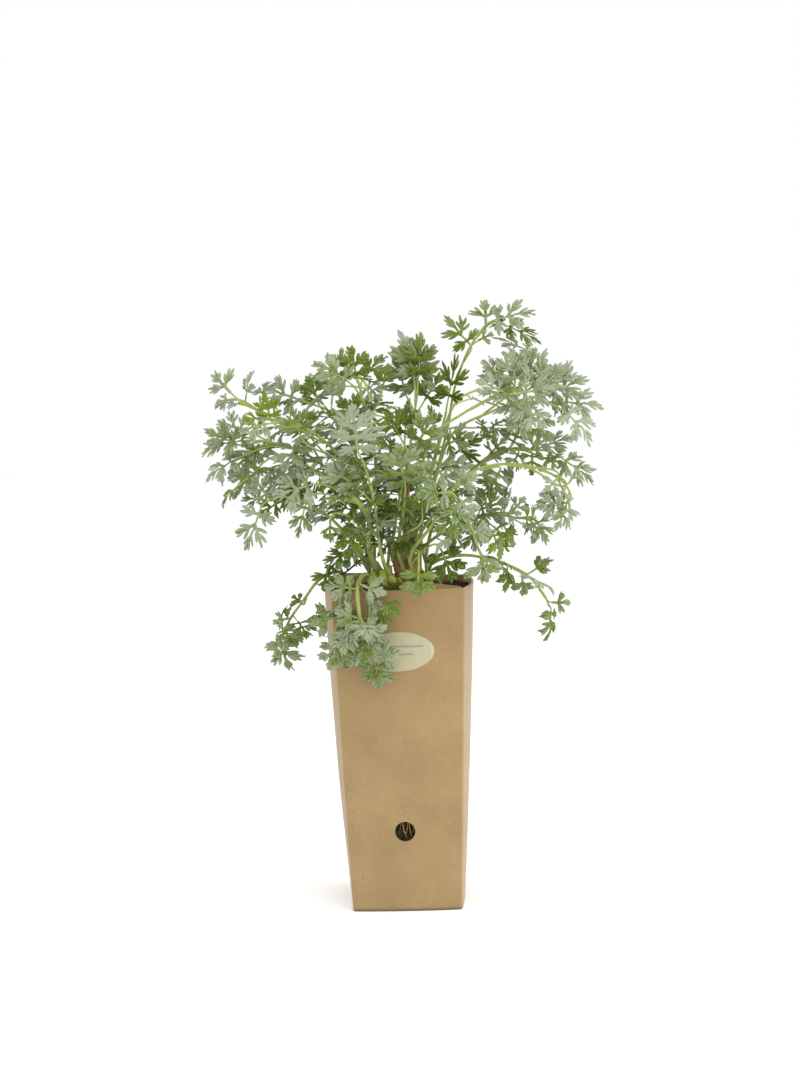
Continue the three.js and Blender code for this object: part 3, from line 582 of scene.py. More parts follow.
# %% Helpers for Geometry Nodes trees
class Tree:
    """A Geometry Nodes tree with named inputs, each given by its socket type. start holds the
    sockets of those inputs. A kind of node with no full name is a GeometryNode."""

    def __init__(self, name, **inputs):
        self.group = bpy.data.node_groups.new(name, "GeometryNodeTree")
        sockets = [("Geometry", "OUTPUT", "Geometry"), ("Geometry", "INPUT", "Geometry")]
        sockets += [(label.replace("_", " "), "INPUT", kind) for label, kind in inputs.items()]
        for label, way, kind in sockets:
            self.group.interface.new_socket(label, in_out=way, socket_type="NodeSocket" + kind)
        given = self.group.nodes.new("NodeGroupInput").outputs
        self.start = {key.name.replace(" ", "_"): key for key in given if key.name}

    def step(self, kind, settings=None, **inputs):
        return add_node(self.group, kind if "Node" in kind else "GeometryNode" + kind, settings, inputs)

    def made(self, kind, settings=None, **inputs):
        """The first output of a new node."""
        return self.step(kind, settings, **inputs).outputs[0]

    def maths(self, operation, **inputs):
        return self.made("ShaderNodeMath", {"operation": operation}, **inputs)

    def chance(self, least, most, seed):
        """A random number for each point or instance."""
        return self.step("FunctionNodeRandomValue", {"data_type": "FLOAT"}, i2=least, i3=most,
                         Seed=seed).outputs[1]

    def parts(self, collection):
        return self.made("CollectionInfo", i0=collection, Separate_Children=True, Reset_Children=True)

    def real(self, shapes, finish):
        """Real meshes with one material, because the export drops instances."""
        shape = self.made("RealizeInstances", i0=self.made("JoinGeometry", i0=shapes))
        return self.made("SetMaterial", Geometry=shape, Material=finish)

    def end(self, geometry):
        self.group.links.new(geometry, self.group.nodes.new("NodeGroupOutput").inputs["Geometry"])

    def grow(self, piece, **values):
        """Runs the tree on a piece and keeps the result as its plain mesh."""
        modifier = piece.modifiers.new(self.group.name, "NODES")
        modifier.node_group = self.group
        for item in self.group.interface.items_tree:
            key = item.name.replace(" ", "_")
            if item.in_out == "INPUT" and key in values:
                modifier[item.identifier] = values[key]
        return plain_mesh(piece)


def stored_parts(name, meshes):
    """A hidden collection that a tree takes instances from."""
    store = bpy.data.collections.new(name)
    for mesh in meshes:
        store.objects.link(bpy.data.objects.new(mesh.name, mesh))
    return store


print("the steps of a tree:", [name for name in vars(Tree) if not name.startswith("_")])


# %% Crumbs on the soil
CRUMB = {"density": 0.22e6, "size": (0.45, 1.5), "seed": 11, "below": 0.8, "kinds": 4, "dents": (0.45, 1.7)}


def lump_mesh(name, seed, squash):
    depth, scale = CRUMB["dents"]
    shape = bmesh.new()
    bmesh.ops.create_icosphere(shape, subdivisions=1, radius=1)
    for vertex in shape.verts:
        vertex.co *= 1 + depth * noise.noise(vertex.co * scale + Vector((seed, 0, 0)))
        vertex.co.z *= squash
    mesh = bpy.data.meshes.new(name)
    shape.to_mesh(mesh)
    shape.free()
    mesh.transform(Matrix.Scale(MM, 4))
    mesh.materials.append(loam.material)
    return mesh


def scatter_tree(name):
    """A tree that strews parts over the top of a piece. Tumble is how far they turn over."""
    tree = Tree(name, Density="Float", Seed="Int", Least="Float", Most="Float", Level="Float",
                Tumble="Float", Lumps="Collection", Finish="Material")
    start = tree.start
    height = tree.step("ShaderNodeSeparateXYZ", i0=tree.made("InputPosition")).outputs["Z"]
    top = tree.made("FunctionNodeCompare", {"operation": "GREATER_THAN"}, i0=height, i1=start["Level"])
    spots = tree.made("DistributePointsOnFaces", Mesh=start["Geometry"], Density=start["Density"],
                      Seed=start["Seed"], Selection=top)
    over = tree.made("ShaderNodeCombineXYZ", X=start["Tumble"], Y=start["Tumble"], Z=math.pi)
    under = tree.made("ShaderNodeVectorMath", {"operation": "SCALE"}, i0=over, Scale=-1.0)
    turn = tree.made("FunctionNodeRandomValue", {"data_type": "FLOAT_VECTOR"}, i0=under, i1=over,
                     Seed=start["Seed"])
    strewn = tree.made("InstanceOnPoints", Points=spots, Instance=tree.parts(start["Lumps"]),
                       Pick_Instance=True, Rotation=turn,
                       Scale=tree.chance(start["Least"], start["Most"], start["Seed"]))
    tree.end(tree.real([start["Geometry"], strewn], start["Finish"]))
    return tree


crumb_tree, moss_tree = scatter_tree("crumbs"), scatter_tree("moss")
soil_lumps = stored_parts("soil_lumps", [lump_mesh(f"soil_lump_{k}", 3 * k, 0.5 + 0.15 * k)
                                         for k in range(CRUMB["kinds"])])
crumb_tree.grow(soil, Density=CRUMB["density"], Seed=CRUMB["seed"], Least=CRUMB["size"][0],
                Most=CRUMB["size"][1], Level=(SOIL["level"] - CRUMB["below"]) * MM, Lumps=soil_lumps,
                Finish=loam.material, Tumble=math.pi)
finish_piece(soil, "soil", "potting_soil")

# %% [markdown]
# ## The woody trunk
#
# The old stem is brown and scaly, with knots where side shoots broke off. It could be a Skin
# modifier on a few edges. A sweep is chosen, because its radius can carry the knots, ridges and
# flakes directly, so that they show in the silhouette too.

# %% Bark material
bark = Finish("scaly_bark", 0.9, Specular_IOR_Level=0.25)
scales = bark.speckle(700, 5, 0.7, bark.knot("Mapping", Vector=bark.at, Scale=(1, 1, 0.35)).outputs[0])
brown = bark.layer((100, 70, 45), (176, 142, 100), scales, 0.35, 0.65)
bark.paint(bark.layer(brown, (116, 122, 74), bark.speckle(150, 3), 0.5, 0.7, 0, 0.5))
bark.relief(scales, 0.0008)
print("bark:", len(bark.material.node_tree.nodes), "nodes")

# %% Build the trunk
TRUNK = {"foot": (4, 2), "radius": (4.6, 2.7), "rings": 110, "sides": 28, "body": 0.84, "knots": 0.16,
         "around": 1.5, "along": 26, "flakes": ((0.16, 1.6), (0.10, 4)), "knot_count": 4,
         "route": [(0, 0, 179), (0, 0, 199), (-1.5, -1, 215), (1.5, 1, 232), (0.5, -1, 250), (3, 0, 268)]}
SPAN_STEPS = 16


def smooth_route(knots, count):
    """Points evenly spaced along a smooth curve through the knots (centripetal Catmull-Rom)."""
    knots = [Vector(k) for k in knots]
    knots = [2 * knots[0] - knots[1], *knots, 2 * knots[-1] - knots[-2]]
    fine = []
    for i in range(1, len(knots) - 2):
        p = knots[i - 1:i + 3]
        at = [0.0]
        for a, b in zip(p, p[1:]):
            at.append(at[-1] + max((b - a).length, 1e-6) ** 0.5)

        def mixed(first, second, low, high, t):
            return first * ((high - t) / (high - low)) + second * ((t - low) / (high - low))
        for k in range(SPAN_STEPS):
            t = at[1] + (at[2] - at[1]) * k / SPAN_STEPS
            a = [mixed(p[j], p[j + 1], at[j], at[j + 1], t) for j in range(3)]
            b = [mixed(a[j], a[j + 1], at[j], at[j + 2], t) for j in range(2)]
            fine.append(mixed(*b, at[1], at[2], t))
    fine = np.array(fine + [knots[-2]])
    gone = np.concatenate([[0], np.cumsum(np.linalg.norm(np.diff(fine, axis=0), axis=1))])
    wanted = np.linspace(0, gone[-1], count)
    return np.column_stack([np.interp(wanted, gone, fine[:, axis]) for axis in range(3)])


def swept(points, radius_at, sides):
    """A closed tube along the points. radius_at gives the radius for a ring and an angle."""
    side = Vector((1, 0, 0))
    corners, last = [], len(points) - 1
    for i, point in enumerate(points):
        along = Vector(points[min(i + 1, last)] - points[max(i - 1, 0)]).normalized()
        side = (side - along * side.dot(along)).normalized()
        up = along.cross(side)
        for k in range(sides):
            angle = math.tau * k / sides
            out = side * math.cos(angle) + up * math.sin(angle)
            corners.append(Vector(point) + out * radius_at(i, angle))
    caps = [tuple(reversed(range(sides))), tuple(range(last * sides, (last + 1) * sides))]
    return corners, bands(len(points), sides) + caps


def flaky(plan, share, angle):
    """Noise that runs round and along a woody piece. Each row of flakes is a depth and a scale."""
    place = Vector((math.cos(angle) * plan["around"], math.sin(angle) * plan["around"],
                    share * plan["along"]))
    return sum(depth * noise.noise(place * scale) for depth, scale in plan["flakes"])


def trunk_radius(ring, angle):
    share = ring / TRUNK["rings"]
    radius = TRUNK["radius"][0] + (TRUNK["radius"][1] - TRUNK["radius"][0]) * share
    knots = TRUNK["knots"] * max(0, math.cos(share * TRUNK["knot_count"] * math.tau)) ** 6
    return radius * (TRUNK["body"] + knots + flaky(TRUNK, share, angle))


trunk_points = smooth_route([(TRUNK["foot"][0] + x, TRUNK["foot"][1] + y, z) for x, y, z in TRUNK["route"]],
                            TRUNK["rings"] + 1)
trunk = new_piece("knotted_trunk", *swept(trunk_points, trunk_radius, TRUNK["sides"]), bark)
finish_piece(trunk, "bark", "woody_trunk")

# %% [markdown]
# ## Felted leaves
#
# A leaf is grey-green from a felt of fine hairs, with a pale vein along each finger and yellow-green
# on a few young leaves. Real hairs would be millions of curves, so the felt is a soft sheen, a fine
# bump and a pale mottle. Each point of a blade carries its distance from the nearest vein and how far
# along the finger it is, and each leaf carries its own tint, so the pattern follows the leaf. A leaf
# near the middle of the bush is painted greener and darker than one outside: that is painted shade.
# The paler edges and tips of the fingers are partly the felt's own silver and partly painted sheen.

# %% Felt and stem materials
felt = Finish("felted_leaf", 0.75, Specular_IOR_Level=0.12, Sheen_Weight=0.05)
look = felt.mark("look", "Vector")
from_vein, along_finger, young = (felt.axis(axis, look) for axis in "XYZ")
cloud, grain = felt.speckle(170, 3), felt.speckle(2600, 2, 0.7)
# Painted shade: the nearer a point is to the middle of the bush, the greener and darker its leaf.
painted_shade_from_middle = felt.knot("VectorMath", {"operation": "LENGTH"}, i0=felt.knot(
    "Mapping", {"vector_type": "TEXTURE"}, Vector=felt.at, Location=(0, 0, 0.25),
    Scale=(0.1, 0.08, 0.1)).outputs[0]).outputs["Value"]
green = felt.mark("tint")
# The finger tips are made less green here: partly the felt's own silver, partly painted sheen.
for more in (felt.stretch(cloud, 0.3, 0.7, -0.2, 0.26), felt.stretch(along_finger, 0.2, 1, 0.1, -0.16),
             felt.stretch(painted_shade_from_middle, 0.3, 1.15, 0.6, 0), felt.maths("MINIMUM", young, 0.0)):
    green = felt.maths("ADD", green, more)
hairy = felt.stretch(green, 0.05, 0.7, 1, 0.05)
skin = felt.layer((138, 149, 119), (90, 111, 23), green, 0.0, 0.5)
skin = felt.layer(skin, (68, 88, 6), green, 0.5, 1.0)
# The pale edges below are partly the felt's own silver and partly painted sheen.
skin = felt.blend(felt.maths("MULTIPLY", hairy, felt.stretch(from_vein, 0.62, 1.0, 0, 0.4)),
                  skin, (150, 159, 136))  # pale edges
skin = felt.layer(skin, (144, 158, 104), from_vein, 0.06, 0.24, 0.4, 0)  # veins
skin = felt.blend(young, skin, (108, 130, 18))
felt.paint(felt.blend(felt.maths("MULTIPLY", hairy, felt.stretch(grain, 0.35, 0.75, 0, 0.3)),
                      skin, (168, 175, 156)))
felt.relief(felt.maths("ADD", grain, felt.maths("MULTIPLY", cloud, 2.0)), 0.00015)

rind = Finish("felted_stem", 0.65, Specular_IOR_Level=0.25, Sheen_Weight=0.05)
rind_base = rind.layer((136, 148, 66), (146, 161, 72), rind.axis("Z"), 0.2, 0.29)
rind.paint(rind.layer(rind_base, (164, 174, 118), rind.speckle(260, 3), 0.35, 0.7, 0, 0.6))
rind.relief(rind.speckle(2400, 2), 0.0001)
print("nodes of leaf and stem:", [len(one.material.node_tree.nodes) for one in (felt, rind)])

# %% [markdown]
# ## The shape of a leaf
#
# The blade has pairs of lobes along a rib and one at its end, and each lobe splits into blunt
# fingers. The flat outline is drawn first: every finger is a slim spoon, and a constrained
# triangulation joins all spoons of a leaf into one sheet. The sheet is then bent with the same
# formula as the CAD leaf, cupped along each finger, and given a thickness that thins to the edge.

# %% Lobes and fingers of a leaf
LOBE_PLANS = {  # (place along the rib, turn, reach) of each pair, then place and reach of the end lobe
    3: (((0.3, 0.95, 0.56),), (0.45, 0.55)),
    5: (((0.14, 1.5, 0.5), (0.36, 0.92, 0.58)), (0.52, 0.48)),
    7: (((0.08, 1.95, 0.42), (0.25, 1.3, 0.54), (0.46, 0.82, 0.52)), (0.62, 0.38)),
}
FINGER_PLANS = {  # where a finger leaves the middle of its lobe, its turn, and its length
    3: ((0, 0, 1), (0.28, 0.56, 0.64), (0.32, -0.56, 0.6)),
    5: ((0, 0, 1), (0.2, 0.8, 0.5), (0.24, -0.8, 0.48), (0.42, 0.5, 0.5), (0.46, -0.5, 0.46)),
}
LONG_LOBE, LONG_LEAF = 9.5, 12  # mm; a longer lobe, or the end lobe of a longer leaf, has five fingers
FINGER_OUTLINE = np.array([(0, 0.8), (0.2, 0.9), (0.4, 0.97), (0.58, 0.98), (0.74, 0.86), (0.87, 0.62),
                           (0.96, 0.32), (1, 0)])
FINGER_SAMPLES, AXIS_POINTS = 24, np.linspace(0.15, 0.93, 6)
BLADE = {"droop": 0.5, "thickness": 0.62, "edge": 0.25, "groove": 0.16, "groove_width": 0.25,
         "pale_underside": 0.3, "cupped": 0.33}
RIB = {"half": 0.75, "width": 0.9}
FINGER = {"half": (0.4, 0.07), "side_half": 0.86, "side_bend": 0.25, "widest": 0.8}
PLAY = {"lobe_turn": 0.14, "lobe_bend": 0.2, "turn": 0.2, "length": 0.16, "curl": 0.3}  # of the random draws


def finger_axis(finger, share):
    """Points of a finger's axis, which bends a little sideways."""
    share = np.asarray(share, float)[..., None]
    way = np.array([math.cos(finger["turn"]), math.sin(finger["turn"])])
    side = np.array([-way[1], way[0]])
    return finger["foot"] + finger["length"] * (share * way + share ** 2 * finger["bend"] * side)


def leaf_fingers(lobes, length, breadth, draw, long_lobe=LONG_LOBE):
    """All fingers of a leaf, in millimetres on its flat blade. The first is the rib. In each lobe one
    finger runs on from the lobe's foot, and the others branch off its middle."""
    pairs, (end_at, end_reach) = LOBE_PLANS[lobes]
    least, more = FINGER["half"]
    plans = [(at, side * turn, reach, side) for at, turn, reach in pairs for side in (-1, 1)]
    fingers = [{"foot": np.zeros(2), "turn": 0, "length": end_at * length, "bend": 0, "half": RIB["half"],
                "curl": 0, "rib": True}]
    for at, turn, reach, side in plans + [(end_at, 0, end_reach, 1)]:
        reach *= length
        count = 5 if reach > long_lobe or (turn == 0 and length > LONG_LEAF) else 3
        turn += PLAY["lobe_turn"] * (next(draw) - 0.5)
        middle = {"foot": np.array([at * length, 0]), "turn": turn, "length": reach,
                  "bend": PLAY["lobe_bend"] * (next(draw) - 0.5)}
        for start, spread, share in FINGER_PLANS[count]:
            fingers.append({
                "foot": finger_axis(middle, start),
                "turn": turn + side * spread + PLAY["turn"] * (next(draw) - 0.5),
                "length": reach * share * (1 + PLAY["length"] * (next(draw) - 0.5)),
                "bend": -FINGER["side_bend"] * side * math.copysign(1, spread) if start else middle["bend"],
                "half": breadth * (least + more * reach) * (FINGER["side_half"] if start else 1),
                "curl": PLAY["curl"] * (next(draw) - 0.55), "rib": False,
            })
    return fingers


def flat_blade(fingers):
    """One triangulated sheet that covers every finger, with points along each finger's axis."""
    spots, outlines = [], []
    for finger in fingers:
        widths = np.full(len(FINGER_OUTLINE), RIB["width"]) if finger["rib"] else FINGER_OUTLINE[:, 1]
        middle = finger_axis(finger, FINGER_OUTLINE[:, 0])
        way = np.gradient(middle, axis=0)
        way /= np.linalg.norm(way, axis=1)[:, None]
        side = np.column_stack([-way[:, 1], way[:, 0]]) * (widths * finger["half"])[:, None]
        rim = np.vstack([middle - side, (middle + side)[::-1][0 if finger["rib"] else 1:]])
        outlines.append(list(range(len(spots), len(spots) + len(rim))))
        spots += rim.tolist()
    for finger in fingers:
        spots += finger_axis(finger, AXIS_POINTS).tolist()
    points, _, triangles, _, _, inside = delaunay_2d_cdt(
        [Vector(spot) for spot in spots], [], outlines, 0, 1e-4)
    kept = [face for face, covers in zip(triangles, inside) if covers]
    return np.array([point[:] for point in points]), np.array(kept)


def nearest_finger(flat, fingers):
    """For each point: its finger, how far along it, and how far across as a share of its half width."""
    shares = np.linspace(0, 1, FINGER_SAMPLES)
    widths = np.interp(np.minimum(shares, FINGER["widest"]), *FINGER_OUTLINE.T)
    best = np.full(len(flat), 9.0)
    which, along = np.zeros(len(flat), int), np.zeros(len(flat))
    for number, finger in enumerate(fingers):
        away = np.linalg.norm(flat[:, None] - finger_axis(finger, shares)[None], axis=2)
        near = away.argmin(axis=1)
        across = away[np.arange(len(flat)), near] / (finger["half"] * widths[near])
        closer = across < best
        best[closer], which[closer], along[closer] = across[closer], number, shares[near][closer]
    return which, along, np.minimum(best, 1)


sample_flat, sample_triangles = flat_blade(leaf_fingers(5, 24.0, 1.0, seeded_draws(5)))
print("a five-lobed leaf:", len(sample_flat), "points and", len(sample_triangles), "triangles a side")


# %% Bending a blade
def turned(vector, axis, angle):
    return (vector * math.cos(angle) + np.cross(axis, vector) * math.sin(angle)
            + axis * np.dot(axis, vector) * (1 - math.cos(angle)))


def unit(vector):
    return vector / np.linalg.norm(vector)


def blade_frame(leaf):
    """Along the rib, across it, and out of the upper face, as the CAD source has them."""
    along = unit(leaf["tip"] - leaf["base"])
    tilt = math.radians(leaf["tilt"])
    wish = np.array([math.cos(leaf["facing"]) * math.sin(tilt), math.sin(leaf["facing"]) * math.sin(tilt),
                     math.cos(tilt)])
    across = turned(unit(np.cross(wish, along)), along, leaf["roll"])
    return along, across, np.cross(along, across)


def blade_points(leaf, spots, lift_more=0.0):
    """Bends flat spots, given as shares of the leaf's length, into the leaf's place."""
    share, sideways = spots[:, 0], spots[:, 1]
    start = leaf["arch"] / 2
    angle = start - leaf["arch"] * share
    forward = (math.sin(start) - np.sin(angle)) / leaf["arch"]
    rise = (np.cos(angle) - math.cos(start)) / leaf["arch"]
    reach = np.abs(sideways) * leaf["spread"]
    lift = leaf["cup"] * reach - BLADE["droop"] * reach ** 2 + lift_more
    out = np.sign(sideways) * reach
    along, across, up = blade_frame(leaf)
    x, z = forward - lift * np.sin(angle), rise + lift * np.cos(angle)
    return leaf["base"] + leaf["length"] * (x[:, None] * along + out[:, None] * across + z[:, None] * up)


def leaf_sheet(leaf, draw):
    """Points, triangles and marks of one closed leaf blade."""
    fingers = leaf_fingers(leaf["lobes"], leaf["length"], leaf["breadth"], draw,
                           leaf.get("long_lobe", LONG_LOBE))
    flat, triangles = flat_blade(fingers)
    which, along, across = nearest_finger(flat, fingers)
    length, curl = (np.array([finger[key] for finger in fingers])[which] for key in ("length", "curl"))
    lift = (curl + leaf["curl"]) * along ** 2 * length - BLADE["cupped"] * across ** 2 * along
    middle = blade_points(leaf, flat / leaf["length"], lift / leaf["length"])
    corner = middle[triangles]
    face_normal = np.cross(corner[:, 1] - corner[:, 0], corner[:, 2] - corner[:, 0])
    normal = np.zeros_like(middle)
    for k in range(3):
        np.add.at(normal, triangles[:, k], face_normal)
    normal /= np.maximum(np.linalg.norm(normal, axis=1), 1e-9)[:, None]
    half = BLADE["thickness"] / 2 * (BLADE["edge"] + (1 - BLADE["edge"]) * (1 - across ** 2))
    groove = BLADE["groove"] * np.exp(-(across / BLADE["groove_width"]) ** 2)
    upper = middle + normal * (half - groove)[:, None]
    lower = middle - normal * (half + groove)[:, None]
    edges = {(face[k], face[(k + 1) % 3]) for face in triangles.tolist() for k in range(3)}
    rim = sorted((a, b) for a, b in edges if (b, a) not in edges)
    shift = len(middle)
    faces = triangles.tolist() + (triangles[:, ::-1] + shift).tolist()
    faces += [[b, a, a + shift, b + shift] for a, b in rim]
    under = leaf["young"] or -BLADE["pale_underside"]
    looks = [np.column_stack([across, along, np.full(shift, shade)]) for shade in (leaf["young"], under)]
    return np.vstack([upper, lower]), faces, np.vstack(looks), np.full(2 * shift, leaf["tint"])


print("thickness of a blade, mm:", BLADE["thickness"])
